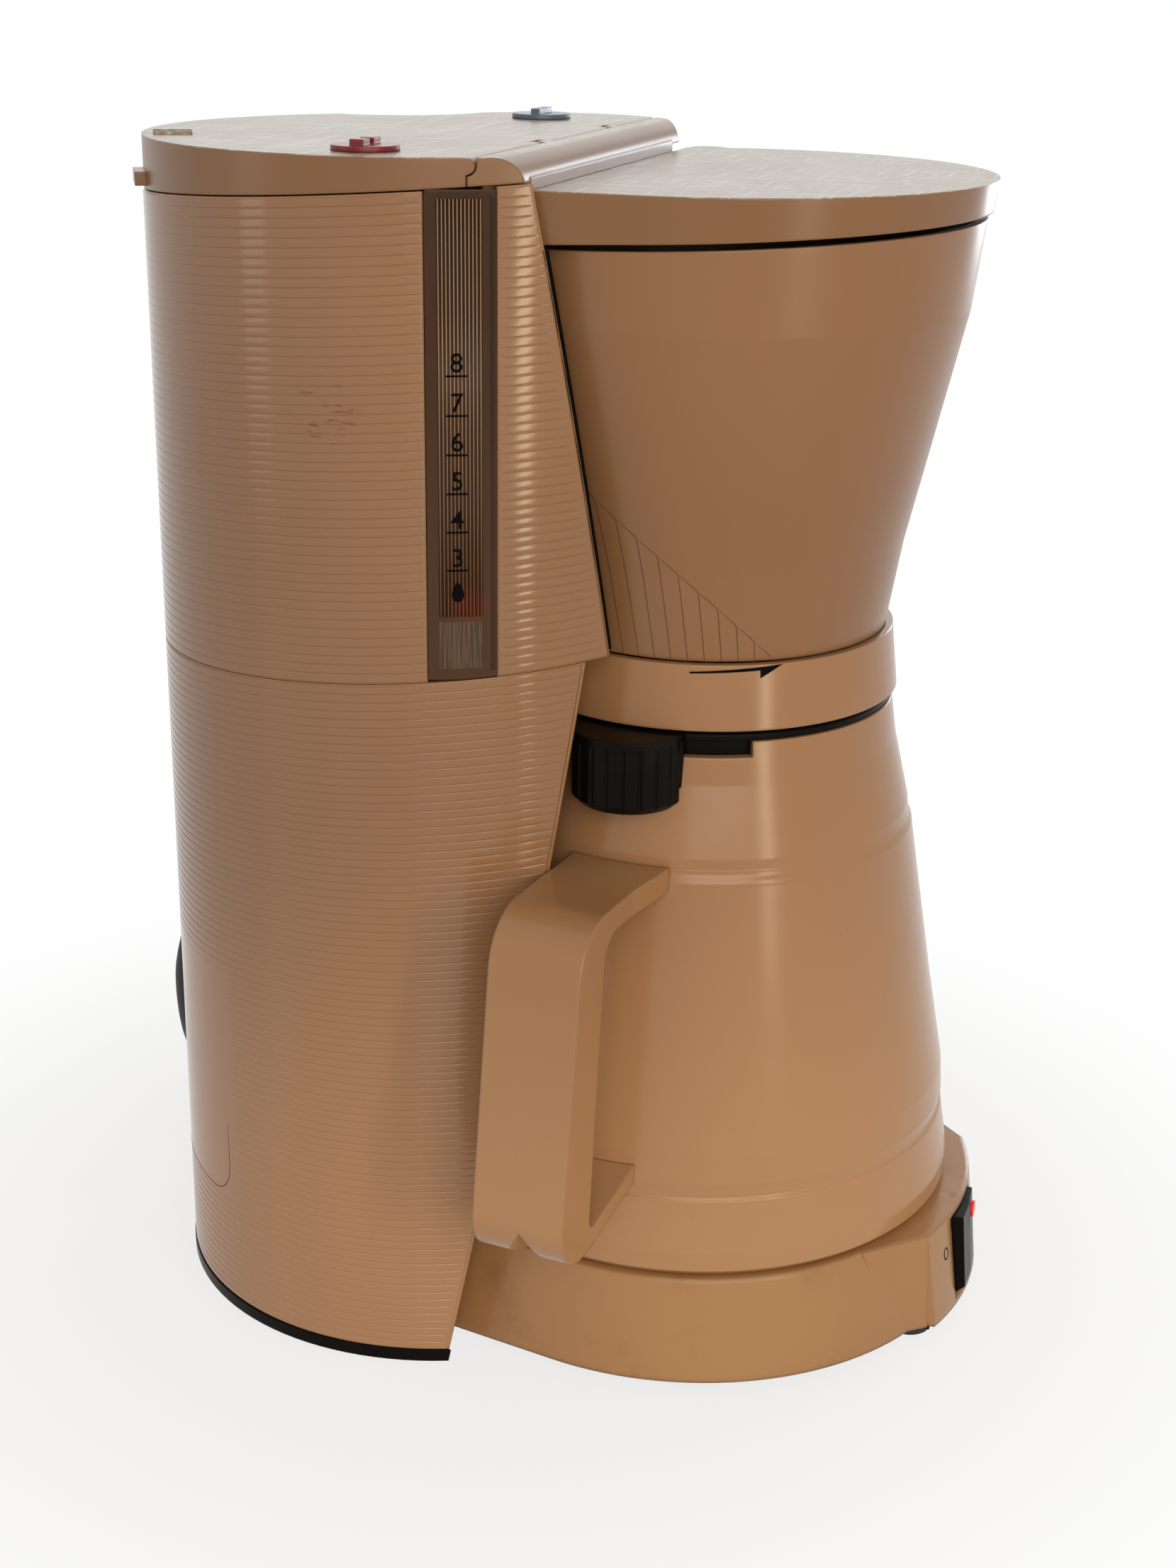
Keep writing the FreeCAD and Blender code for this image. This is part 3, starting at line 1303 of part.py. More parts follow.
def rounded_face(corners):
    """A flat face through corners, each a point with the radius that rounds it."""
    points = [point for point, radius in corners]
    bends = []
    for before, (corner, radius), after in zip(points[-1:] + points[:-1], corners, points[1:] + points[:1]):
        into = (corner - before).normalize()
        out = (after - corner).normalize()
        turn = into.getAngle(out)
        reach = radius * math.tan(turn / 2)
        middle = corner + (out - into).normalize() * (radius / math.cos(turn / 2) - radius)
        bends.append((corner - into * reach, middle, corner + out * reach))
    edges = []
    for (first, middle, last), (following, *rest) in zip(bends, bends[1:] + bends[:1]):
        if (last - first).Length > 1e-6:
            edges.append(Part.Arc(first, middle, last).toShape())
        edges.append(Part.LineSegment(last, following).toShape())
    return Part.Face(Part.Wire(edges))


handle_turn = math.radians(s.handle_angle.number)
HANDLE_OUT = Vector(math.cos(handle_turn), math.sin(handle_turn), 0)
HANDLE_ACROSS = Vector(-math.sin(handle_turn), math.cos(handle_turn), 0)
HANDLE_ROOT = 50.0
STRUT_RISE = 5.0
FLARE_HALF = 3.0
FLARE_REACH = 88.0


def on_handle(reach, height, across=0):
    """A point in the handle's own plan: out from the brewing axis, up and across."""
    level = HANDLE_OUT * as_size(reach).number + HANDLE_ACROSS * as_size(across).number
    return level + Z_AXIS * as_size(height).number


def handle_loop():
    """A strap out from the shoulder, a bar that leans out downwards and a strut back in to the base."""
    side = -s.handle_half
    top = s.handle_top
    low = s.handle_bottom
    strap_low = top - s.handle_strap
    strut_top = low + s.handle_strut
    face = rounded_face((
        (on_handle(HANDLE_ROOT, top, side), 0),
        (on_handle(s.handle_top_reach, top, side), s.handle_bend.number),
        (on_handle(s.handle_low_reach, low, side), s.handle_foot_bend.number),
        (on_handle(s.handle_low_inner, low, side), 0),
        (on_handle(HANDLE_ROOT, low + 2 * STRUT_RISE, side), 0),
        (on_handle(HANDLE_ROOT, strut_top + 2 * STRUT_RISE, side), 0),
        (on_handle(s.handle_low_inner, strut_top, side), 3),
        (on_handle(s.handle_top_inner, strap_low, side), s.handle_bend.number / 2),
        (on_handle(HANDLE_ROOT, strap_low, side), 0)))
    return solid("handle_loop", face.extrude(HANDLE_ACROSS * (2 * s.handle_half.number)))


def handle_flare():
    """The widening of the strap on its near side, where it meets the jug."""
    edge = s.handle_half - 1
    root = HANDLE_ROOT + 2
    low = s.handle_top - s.handle_strap
    face = Part.Face(Part.makePolygon([
        on_handle(root, low, edge), on_handle(FLARE_REACH, low, edge),
        on_handle(root, low, s.handle_half + FLARE_HALF),
        on_handle(root, low, edge)]))
    return solid("handle_flare", face.extrude(Z_AXIS * s.handle_strap.number))


def carafe_handle():
    low = s.handle_bottom
    bar_foot = s.handle_low_reach + 4
    notch_face = Part.Face(Part.makePolygon([
        on_handle(bar_foot, low - 14, -7), on_handle(bar_foot, low + 5, -7),
        on_handle(bar_foot, low + 14.5, 0.6),
        on_handle(bar_foot, low + 5, 8.5), on_handle(bar_foot, low - 14, 8.5),
        on_handle(bar_foot, low - 14, -7)]))
    notch = solid("handle_notch", notch_face.extrude(HANDLE_OUT * -20 - Z_AXIS * 12))
    form = cut("handle_form", fuse("handle_fused", handle_loop(), handle_flare()), notch)
    clear = 0.2
    keep_out = turned("handle_keep_out", (
        (0, 30), (s.band_radius + clear, 30), (s.band_radius + clear, s.carafe_bottom + 7.0),
        (s.waist_radius + 0.4 + clear, s.carafe_band_top), (s.waist_radius + 0.35 + clear,
                                                            s.carafe_band_top + 4.6),
        (s.waist_radius - 0.3 + clear, s.carafe_band_top + 13.15),
        *[(radius + clear, height) for radius, height in JUG_WAIST],
        (s.shoulder_radius + clear, s.carafe_shoulder - 1.5), (s.shoulder_radius + clear, 170), (0, 170)))
    return cut("carafe_handle", form, keep_out)


def carafe_lid():
    top = s.lid_top
    rim = s.carafe_top + s.gap
    web = s.carafe_top - 7.8 + s.gap
    cap = turned("lid_cap", (
        (0, top), (4.5, top), (5.5, top - 3.4), (20, top - 2.6), (s.mouth_radius - 5, top),
        (s.collar_top_radius - 1.2, top),
        (s.collar_top_radius - 0.4, top - 0.8), (s.collar_top_radius - 0.4, rim),
        (s.mouth_radius - s.gap, rim),
        (s.mouth_radius - s.gap, web + 2), (s.mouth_radius - 3, web + 2), (s.mouth_radius - 3, top - 4.6),
        (s.stopper_radius, top - 5), (s.stopper_radius, 166), (s.stopper_radius - 2.5, 166),
        (s.stopper_radius - 2.5, top - 6.4), (0, top - 6.4)))
    clear = 2 * s.gap
    drum = thumb_drum(top)
    outside = turned("lid_drum_limit", (
        (s.collar_top_radius + clear, top + 5), (s.collar_top_radius + clear, s.carafe_top),
        (COLLAR_WAIST + clear, s.carafe_shoulder + 24), (s.collar_low_radius + clear,
                                                         s.carafe_shoulder + 4.5),
        (s.collar_low_radius + clear, 140), (90, 140), (90, top + 5)))
    thumb = common("lid_thumb", drum, outside)
    link = radial_block("lid_link", brew_axis, s.handle_angle,
                        (s.mouth_radius - 4, s.collar_top_radius + 4), 22,
                        (s.carafe_top - 3.6, top))
    inlets = [cylinder(f"lid_inlet{number}", 3, 150, FAR, 13 * cosine(60 * number), 13 * sine(60 * number))
              for number in range(6)]
    return cut("carafe_lid", fuse("lid_whole", cap, thumb, link), *inlets)


DRUM_GROOVES = 11
DRUM_STEP = 17.0


def drum_cylinder(name, radius, low, high, angle=None):
    """An upright round on the thumb drum's axis, or on its rim at an angle."""
    x = s.drum_place * cosine(s.handle_angle)
    y = s.drum_place * sine(s.handle_angle)
    if angle is not None:
        x = x + s.drum_radius * cosine(angle)
        y = y + s.drum_radius * sine(angle)
    return cylinder(name, radius, low, high, x, y)


def thumb_drum(top):
    """A drum with a broken lower edge and fine grooves round its free side."""
    edge = 2.0
    body = drum_cylinder("drum_body", s.drum_radius, s.drum_bottom + edge, top)
    foot = doc.addObject("Part::Cone", "drum_foot")
    bind(foot, "Radius1", s.drum_radius - edge)
    bind(foot, "Radius2", s.drum_radius)
    bind(foot, "Height", edge)
    place(foot, s.drum_place * cosine(s.handle_angle), s.drum_place * sine(s.handle_angle), s.drum_bottom)
    first = s.handle_angle - DRUM_STEP * ((DRUM_GROOVES - 1) / 2)
    grooves = [drum_cylinder(f"drum_groove{number}", 0.6, s.drum_bottom - 1, top - 2,
                             first + DRUM_STEP * number) for number in range(DRUM_GROOVES)]
    return cut("lid_drum", fuse("drum_form", body, foot), *grooves)


def lid_gasket():
    inner = s.stopper_radius + 0.05
    return turned("lid_gasket", ((inner, 170), (s.neck_radius - 3 * s.glass_wall - 0.3, 170.6),
                                 (s.neck_radius - 3 * s.glass_wall - 0.3, 173), (inner, 173.6)))


# Cord, tie and plug
def cord_gland():
    foot = Part.makeCylinder(GLAND_RADIUS, 10, GLAND_FOOT - GLAND_WAY * 7, GLAND_WAY)
    sleeve = Part.makeCone(GLAND_RADIUS, s.cord_radius.number + 0.8, GLAND_LENGTH - 3,
                           GLAND_FOOT + GLAND_WAY * 3, GLAND_WAY)
    return solid("cord_gland", foot.fuse(sleeve).removeSplitter())


def cord_run():
    path, radii = rounded_path(list(CORD_POINTS))
    radius = s.cord_radius.number
    tube = swept(path, radius)
    wanted = math.pi * radius ** 2 * path.Length
    print("cord radii", [round(bend) for bend in radii],
          f"length {path.Length:.0f} volume ratio {tube.Volume / wanted:.4f}")
    return solid("cord_run", tube)


def cord_coil():
    """One tube: a straight lead, the loops and a straight tail to the plug."""
    radius = s.cord_radius.number
    report_gap("coil", coil_place, coil_turns, 2 * radius)
    lead = Part.LineSegment(CORD_END, COIL_START).toShape()
    tail = Part.LineSegment(COIL_END, PLUG_START).toShape()
    path = Part.Wire(Part.__sortEdges__([lead] + winding_path(coil_place, coil_turns) + [tail]))
    tube = swept(path, radius)
    wanted = math.pi * radius ** 2 * path.Length
    print(f"coil length {path.Length:.0f} volume ratio {tube.Volume / wanted:.4f}")
    return solid("cord_coil", tube)


PLUG_START = COIL_END + COIL_END_WAY * s.coil_tail.number
PLUG_REAR = 10.0


def coil_tie():
    """A flat band round the four strands where the loops lie level."""
    centre = (s.coil_x, s.coil_y)
    angle = 45
    thick = 0.9
    side = 0.7
    inward = (90 - angle) / 360
    outer_strand = s.coil_radius - s.coil_step * inward + s.cord_radius
    inner_strand = s.coil_radius - s.coil_step * (inward + 1) - s.cord_radius
    low = s.coil_rest - s.cord_radius - 0.3
    high = s.coil_rest + s.coil_step + s.cord_radius + 0.3
    band = radial_block("tie_outer", centre, angle, (inner_strand - side - thick,
                                                     outer_strand + side + thick), 8,
                        (low - thick, high + thick))
    room = radial_block("tie_inner", centre, angle, (inner_strand - side, outer_strand + side), 20,
                        (low, high))
    return cut("coil_tie", band, room)


def plug_body():
    radius = s.plug_radius
    rear = doc.addObject("Part::Cone", "plug_rear")
    bind(rear, "Radius1", s.cord_radius + 1.5)
    bind(rear, "Radius2", radius)
    bind(rear, "Height", PLUG_REAR)
    rear.Placement = FreeCAD.Placement(PLUG_START + COIL_END_WAY * 0.05,
                                       FreeCAD.Rotation(Z_AXIS, COIL_END_WAY))
    front = cylinder_along("plug_front", radius, PLUG_START + COIL_END_WAY * (PLUG_REAR + 0.05),
                           COIL_END_WAY,
                           s.plug_length - PLUG_REAR)
    bores = [cylinder_along(f"plug_bore{number}", s.plug_pin_radius + 0.02, foot, COIL_END_WAY, 20)
             for number, foot in enumerate(pin_feet())]
    return cut("plug_body", fuse("plug_form", rear, front), *bores)


def pin_feet():
    across = COIL_END_WAY.cross(Z_AXIS)
    deep = PLUG_START + COIL_END_WAY * (s.plug_length.number - 12)
    return [deep + across * (side * s.plug_pin_pitch.number / 2 * 0.75) for side in (-1, 1)]


def plug_pins():
    pins = [cylinder_along(f"plug_pin{number}", s.plug_pin_radius, foot + COIL_END_WAY * 0.05, COIL_END_WAY,
                           s.plug_pin_length + 12)
            for number, foot in enumerate(pin_feet())]
    return compound("plug_pins", pins)


made = [
    base_plate(), feet(), screws(), base_housing(), column_housing(), tank(), gauge_window(), bridge(),
    filter_cover(),
    tank_lid(), lid_pins(),
    dial("selector_dial", s.red_dial_x, s.red_dial_y, ((-5.5, -1.2, -1.8, 1.8), (1.2, 5.5, -1.8, 1.8))),
    dial("memory_dial", s.blue_dial_x, s.blue_dial_y, ((-5.5, 5.5, -1.3, 1.3),)),
    filter_carrier(), filter_basket(), basket_pins(), drip_plunger(), drip_seal(), drip_spring(),
    heater(), heater_bracket(), thermostat(), thermal_fuse(), riser(), inlet_hose(), check_valve(),
    shower_head(),
    water_float(), float_rod(), rocker(), switch_body(), rocker_pin(),
    carafe_shell(), carafe_base(), carafe_collar(), vacuum_liner(), liner_pad(), liner_gasket(),
    carafe_handle(),
    carafe_lid(), lid_gasket(), cord_gland(), cord_run(), cord_coil(), coil_tie(), plug_body(), plug_pins(),
    lens_form("pilot_lens", LENS_RADIUS),
]

doc.recompute()
for obj in doc.Objects:
    if "Invalid" in obj.State or "Error" in obj.State:
        raise RuntimeError(f"{obj.Name} failed: {obj.State}")
os.makedirs("parts", exist_ok=True)
for obj in made:
    obj.Label = obj.Name
    if obj.Shape.isNull() or not obj.Shape.isValid():
        raise RuntimeError(f"{obj.Name} has no valid shape")
    obj.Shape.exportStep(f"parts/{obj.Label}.step")
    print(f"{obj.Label}: solids {len(obj.Shape.Solids)} volume {obj.Shape.Volume:.0f}")
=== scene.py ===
"""Drip coffee maker with a thermal jug: finishes, ribs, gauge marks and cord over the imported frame.

Lengths in the functions are millimetres in the part's own frame: +Z up, the front is -Y and the
origin is the brewing axis on the counter. MM turns them into metres when a mesh is made.
"""

import json
import math

import bpy
import numpy as np
from mathutils import Matrix, Vector


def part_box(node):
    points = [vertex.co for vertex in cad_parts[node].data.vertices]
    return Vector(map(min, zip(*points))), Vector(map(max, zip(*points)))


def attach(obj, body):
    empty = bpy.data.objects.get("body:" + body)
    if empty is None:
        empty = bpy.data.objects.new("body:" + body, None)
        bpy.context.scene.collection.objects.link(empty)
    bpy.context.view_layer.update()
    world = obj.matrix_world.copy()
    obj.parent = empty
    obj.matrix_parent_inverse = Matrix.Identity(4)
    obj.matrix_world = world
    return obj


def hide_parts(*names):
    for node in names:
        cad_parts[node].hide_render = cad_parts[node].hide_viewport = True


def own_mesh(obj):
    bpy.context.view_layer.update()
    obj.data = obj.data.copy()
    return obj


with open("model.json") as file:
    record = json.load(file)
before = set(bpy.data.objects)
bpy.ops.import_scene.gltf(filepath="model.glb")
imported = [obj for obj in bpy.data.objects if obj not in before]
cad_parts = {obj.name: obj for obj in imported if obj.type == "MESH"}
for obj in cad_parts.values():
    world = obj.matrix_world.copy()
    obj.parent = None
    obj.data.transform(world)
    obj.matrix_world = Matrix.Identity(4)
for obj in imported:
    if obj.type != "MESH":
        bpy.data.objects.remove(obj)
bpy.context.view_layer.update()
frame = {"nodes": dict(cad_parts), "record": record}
nodes = frame["nodes"]
scene = bpy.context.scene
MM = 0.001

# Forms repeated from the part: the tower's plan, its seams and the cones of the brewing axis.
# Turned forms are rows of (height, radius) corners, and angles are in degrees.
TOWER = (-16.0, 75.0)
TOWER_RADIUS = 77.0
LOBE = (38.0, 62.0)
LOBE_RADIUS = 40.0
FLUTE = (70.0, 121.0)
FLUTE_RADIUS = 30.0
SEAM_SLANT = math.tan(math.radians(3.85))
TANK_SEAM = 206.7
LID_SEAM = 329.0
COLUMN_FOOT = 5.05
TOWER_TOP = 333.0
COVER_TOP = 325.0
GAUGE_MIDDLE = 205.75
GAUGE_HALF = 6.55
GAUGE_RADIUS = 77.2
RECESS = ((0.0, 99.6), (204.0, 66.5))
NEST = ((206.0, 59.3), (311.0, 77.6))
BASKET = ((204.1, 50.4), (228.0, 54.2), (291.0, 68.1), (318.0, 71.4))
CARRIER = ((186.0, 54.4), (203.6, 52.4))
NOSE = ((4.6, 88.5), (34.0, 85.0))


# Shader maths
class Socket:
    """A value in a node tree; arithmetic on it adds Math nodes."""

    def __init__(self, tree, output):
        self.tree = tree
        self.output = output

    def math(self, operation, *others):
        """A Math node with this value as its first input."""
        return self.tree.node("ShaderNodeMath", {"operation": operation}, [self, *others])

    def __add__(self, other):
        return self.math("ADD", other)

    __radd__ = __add__

    def __mul__(self, other):
        return self.math("MULTIPLY", other)

    __rmul__ = __mul__

    def __rsub__(self, other):
        return self.tree.node("ShaderNodeMath", {"operation": "SUBTRACT"}, [other, self])

    def step(self, low, high):
        """0 under low and 1 over high, smooth between."""
        return self.tree.node("ShaderNodeMapRange", {"interpolation_type": "SMOOTHSTEP"},
                              [self, low, high, 0.0, 1.0])


class Finish:
    """A material being written: one Principled shader and the nodes that feed it."""

    def __init__(self, name):
        self.material = bpy.data.materials.new(name)
        self.material.use_nodes = True
        self.tree = self.material.node_tree
        self.shader = self.tree.nodes["Principled BSDF"]
        self.place = self.node("ShaderNodeTexCoord", {}, [], "Object")

    def node(self, kind, settings, values, output=0):
        """Any node: its settings first, then its inputs in order or by name."""
        made = self.tree.nodes.new(kind)
        for key, value in settings.items():
            setattr(made, key, value)
        pairs = values.items() if isinstance(values, dict) else enumerate(values)
        for key, value in pairs:
            self.feed(made.inputs[key], value)
        return Socket(self, made.outputs[output])

    def feed(self, target, value):
        """Link a socket to an input, or write a plain value into it."""
        if isinstance(value, Socket):
            self.tree.links.new(value.output, target)
        else:
            target.default_value = value

    def set(self, **values):
        """Inputs of the shader by name, with underscores for spaces."""
        for key, value in values.items():
            self.feed(self.shader.inputs[key.replace("_", " ")], value)

    def noise(self, scale, detail=3.0, roughness=0.5, stretch=None):
        """Noise in the piece's own place, drawn out along the axes whose stretch is under 1."""
        place = self.place
        if stretch:
            place = self.node("ShaderNodeMapping", {}, {"Vector": place, "Scale": stretch})
        return self.node("ShaderNodeTexNoise", {}, {"Vector": place, "Scale": scale, "Detail": detail,
                                                    "Roughness": roughness})

    def mix(self, factor, first, second):
        """The first colour at factor 0 and the second at 1."""
        return self.node("ShaderNodeMix", {"data_type": "RGBA"}, {0: factor, 6: first, 7: second}, 2)

    def soft_edges(self, radius):
        """A normal rounded over every edge of the mesh, in metres."""
        return self.node("ShaderNodeBevel", {"samples": 6}, {"Radius": radius})

    def bump(self, height, distance, strength, normal=None):
        """A normal tilted by a height, over another normal where one is given."""
        values = {"Height": height, "Distance": distance, "Strength": strength}
        if normal:
            values["Normal"] = normal
        return self.node("ShaderNodeBump", {}, values)

    def edge_wear(self, normal):
        """How far the rounded normal leaves the flat one: 0 on a face and near 1 on a sharp edge."""
        face = self.node("ShaderNodeNewGeometry", {}, [], "Normal")
        along = self.node("ShaderNodeVectorMath", {"operation": "DOT_PRODUCT"}, [normal, face], "Value")
        return (1.0 - along).step(0.01, 0.2)

    def near(self, place, reach):
        """1 at a place, falling to 0 at a reach from it."""
        away = self.node("ShaderNodeVectorMath", {"operation": "DISTANCE"}, [self.place, place], "Value")
        return 1.0 - away.step(0.3 * reach, reach)

    def scratches(self):
        """Fine straight scuffs that cross: two noises drawn out along X and along Y."""
        along_x = self.noise(800.0, 2.0, stretch=(0.05, 1.0, 1.0))
        along_y = self.noise(800.0, 2.0, stretch=(1.0, 0.05, 1.0))
        return along_x.math("MAXIMUM", along_y).step(0.52, 0.72)

    def along(self, axis):
        """The piece's own coordinate on an axis, in metres."""
        return self.node("ShaderNodeSeparateXYZ", {}, [self.place], axis)


def linear(red, green, blue):
    """A colour written as it looks on screen, 0 to 255, as the shader's linear values."""
    values = np.array((red, green, blue)) / 255.0
    low = values / 12.92
    high = ((values + 0.055) / 1.055) ** 2.4
    return (*np.where(values <= 0.04045, low, high).tolist(), 1.0)


# Heights, in metres, over which the plastic is painted paler towards the counter: painted light on the
# lower walls.
FOOT_LIGHT_HEIGHTS = (0.03, 0.17)
# Tops: real scuffs and a painted sheen, near white.
SCUFF_AND_SHEEN = linear(196, 196, 182)
STAIN = linear(122, 84, 48)
SPECK = linear(112, 80, 52)
SPLASH = linear(116, 58, 36)
SPLASH_AT = (-0.093, 0.0745, 0.2715)
GLOW = linear(176, 46, 34)
GLOW_AT = (-0.0848, 0.0400, 0.2237)
PLASTIC_IOR = 1.4


def aged_plastic(name, colour, shade, worn, roughness, edge=0.0009, stained=0.0, foot=None, top=None):
    """Yellowed moulded plastic: slow clouds of shade, brown stains, a fine grain and worn edges.

    Where a foot colour is given, the plastic is painted paler towards the counter as painted light, over
    the heights given for the lit foot.
    Where a top is given, in metres, the flat face at that height is painted a paler sheen and scuffed
    white along its scratches, partly painted highlight.
    """
    finish = Finish(name)
    normal = finish.soft_edges(edge)
    cloud = finish.noise(9.0, 3.0, 0.5).step(0.3, 0.75)
    rubbed = finish.noise(26.0, 2.0, 0.5).step(0.3, 0.8)
    specks = finish.noise(620.0, 2.0, 0.5).step(0.74, 0.80)
    grain = finish.noise(2600.0, 2.0)
    tone = finish.mix(cloud, colour, shade)
    if foot:
        # Painted light: paler towards the counter.
        tone = finish.mix(finish.along(2).step(*FOOT_LIGHT_HEIGHTS), foot, tone)
    tone = finish.mix(finish.noise(42.0, 5.0, 0.65).step(0.5, 0.8) * stained, tone, STAIN)
    tone = finish.mix(finish.edge_wear(normal) * 0.3, tone, worn)
    if top:
        # Painted sheen over the whole top face, with white scuffs along the scratches.
        face = finish.along(2).step(top - 0.0003, top - 0.0001)
        tone = finish.mix(face * (0.2 + 0.7 * finish.scratches()), tone, SCUFF_AND_SHEEN)
    tone = finish.mix(specks * 0.35, tone, SPECK)
    finish.set(Base_Color=tone, Roughness=roughness + 0.03 * rubbed,
               Normal=finish.bump(grain, 0.00002, 0.22, normal))
    finish.set(IOR=PLASTIC_IOR)
    return finish.material


def stained_plastic():
    """The tower's ribs: the same plastic with a dry brown splash beside the gauge, painted paler towards
    the counter as painted light.
    """
    finish = Finish("ribbed_plastic")
    cloud = finish.noise(9.0, 3.0, 0.5).step(0.3, 0.75)
    rubbed = finish.noise(26.0, 2.0, 0.5).step(0.3, 0.8)
    dashes = finish.noise(210.0, 2.0, stretch=(1.0, 1.0, 5.0)).step(0.6, 0.66)
    splash = dashes * finish.near(SPLASH_AT, 0.012)
    tone = finish.mix(cloud, linear(148, 110, 79), linear(142, 104, 73))
    # Painted light: the ribs are paler towards the counter.
    tone = finish.mix(finish.along(2).step(*FOOT_LIGHT_HEIGHTS), linear(176, 133, 96), tone)
    grain = finish.noise(2600.0, 2.0)
    tone = finish.mix(splash * 0.7, tone, SPLASH)
    finish.set(Base_Color=tone, Roughness=0.11 + 0.03 * rubbed, Normal=finish.bump(grain, 0.00002, 0.2))
    finish.set(IOR=PLASTIC_IOR)
    return finish.material


def dark_plastic(name, colour, roughness, shine=0.5):
    """Moulded dark plastic with worn patches; shine is the share of a plain surface's mirror light."""
    finish = Finish(name)
    normal = finish.soft_edges(0.0007)
    worn = finish.noise(80.0, 4.0).step(0.5, 0.85)
    lighter = tuple(min(part * 1.8 + 0.004, 1.0) for part in colour[:3]) + (1.0,)
    grain = finish.noise(1800.0, 2.0)
    tone = finish.mix(worn * 0.6 + finish.edge_wear(normal) * 0.4, colour, lighter)
    finish.set(Base_Color=tone, Roughness=roughness + 0.12 * worn,
               Normal=finish.bump(grain, 0.00003, 0.4, normal))
    finish.set(Specular_IOR_Level=shine)
    return finish.material


def metal(name, colour, roughness):
    """Bare metal whose polish varies."""
    finish = Finish(name)
    drawn = finish.noise(420.0, 3.0)
    finish.set(Base_Color=colour, Roughness=roughness + 0.15 * drawn, Normal=finish.soft_edges(0.0004))
    finish.set(Metallic=1.0)
    return finish.material


def rubber(name, colour):
    """Soft matt rubber with a little dust."""
    finish = Finish(name)
    dust = finish.noise(160.0, 5.0, 0.65).step(0.5, 0.9)
    paler = tuple(part * 1.7 + 0.006 for part in colour[:3]) + (1.0,)
    normal = finish.soft_edges(0.0005)
    finish.set(Base_Color=finish.mix(dust, colour, paler), Roughness=0.62 + 0.15 * dust,
               Normal=finish.bump(finish.noise(1500.0), 0.00004, 0.5, normal))
    return finish.material


def smoked_plastic(name, light, dark):
    """Clear smoky plastic before the dark of the tank, hazier downwards, with a red glow at its foot."""
    finish = Finish(name)
    haze = finish.noise(90.0, 4.0, 0.6).step(0.3, 0.8)
    height = finish.along(2).step(0.215, 0.31)
    tone = finish.mix(height, light, dark)
    glow = finish.near(GLOW_AT, 0.0062)
    finish.set(Base_Color=finish.mix(glow * 0.13, finish.mix(haze * 0.3, tone, light), GLOW),
               Roughness=0.14 + 0.1 * haze, Normal=finish.soft_edges(0.0006))
    finish.set(Specular_IOR_Level=0.1)
    return finish.material


def frosted_plastic():
    """The dull block at the gauge's foot: fine upright lines in smoky plastic."""
    finish = Finish("frosted_block")
    lines = finish.noise(2400.0, 1.0, stretch=(1.0, 1.0, 0.03)).step(0.35, 0.65)
    tone = finish.mix(lines, linear(66, 52, 40), linear(96, 78, 61))
    finish.set(Base_Color=tone, Roughness=0.5 + 0.1 * lines)
    finish.set(Specular_IOR_Level=0.15)
    return finish.material


def glowing_lens():
    """The pilot lamp's red lens, lit from within."""
    finish = Finish("lit_lens")
    spots = finish.noise(700.0, 2.0).step(0.3, 0.7)
    tone = finish.mix(spots, linear(150, 20, 18), linear(205, 40, 30))
    finish.set(Base_Color=tone, Roughness=0.25 + 0.1 * spots, Emission_Color=linear(255, 40, 34))
    finish.set(Emission_Strength=0.4)
    return finish.material


def silvered_glass():
    """The mirror of the jug's vacuum liner."""
    finish = Finish("silvered_glass")
    streak = finish.noise(60.0, 3.0)
    finish.set(Base_Color=linear(215, 218, 215), Roughness=0.06 + 0.08 * streak)
    finish.set(Metallic=0.85)
    return finish.material


# The foot colour is painted light: the lower walls are painted paler.
CREAM = aged_plastic("cream_plastic", linear(160, 119, 82), linear(154, 113, 77),
                     linear(176, 138, 101), 0.19, foot=linear(180, 137, 96))
# The cone's darker cream is painted shade: it faces down and away from the light.
CONE_SHADED_CREAM = aged_plastic("cone_cream_shaded", linear(143, 104, 71), linear(137, 98, 66),
                          linear(160, 122, 88), 0.28)
# The lid's and cover's darker tones are partly painted shade, partly their own cream.
LID_SHADED_TONES = (linear(132, 95, 63), linear(127, 90, 59), linear(150, 113, 80), 0.28)
LID_SHADED_CREAM = aged_plastic("lid_cream_shaded", *LID_SHADED_TONES, top=TOWER_TOP * MM)
COVER_SHADED_CREAM = aged_plastic("cover_cream_shaded", *LID_SHADED_TONES, top=COVER_TOP * MM)
# The base's paler cream is partly painted light; its brown patches are stains.
BASE_LIT_CREAM = aged_plastic("base_cream_lit", linear(174, 131, 87), linear(164, 120, 78),
                          linear(178, 138, 98), 0.2, edge=0.0024, stained=0.55)
RIBBED = stained_plastic()
GROOVE = aged_plastic("groove_shadow", linear(100, 68, 43), linear(94, 63, 40),
                      linear(102, 70, 45), 0.5)
BLACK = dark_plastic("black_plastic", linear(13, 9, 8), 0.3, 0.06)
# Black print, also used for the painted shadow in the tower's gap.
PRINT_AND_SHADOW_INK = dark_plastic("print_and_shadow_black", linear(10, 8, 8), 0.6, 0.03)
RED = dark_plastic("dark_red", linear(118, 20, 26), 0.3)
BLUE = dark_plastic("slate_blue", linear(84, 98, 116), 0.3)
SMOKE = smoked_plastic("smoked_window", linear(78, 55, 40), linear(64, 44, 31))
FLUTED = smoked_plastic("smoked_flutes", linear(64, 43, 30), linear(52, 34, 23))
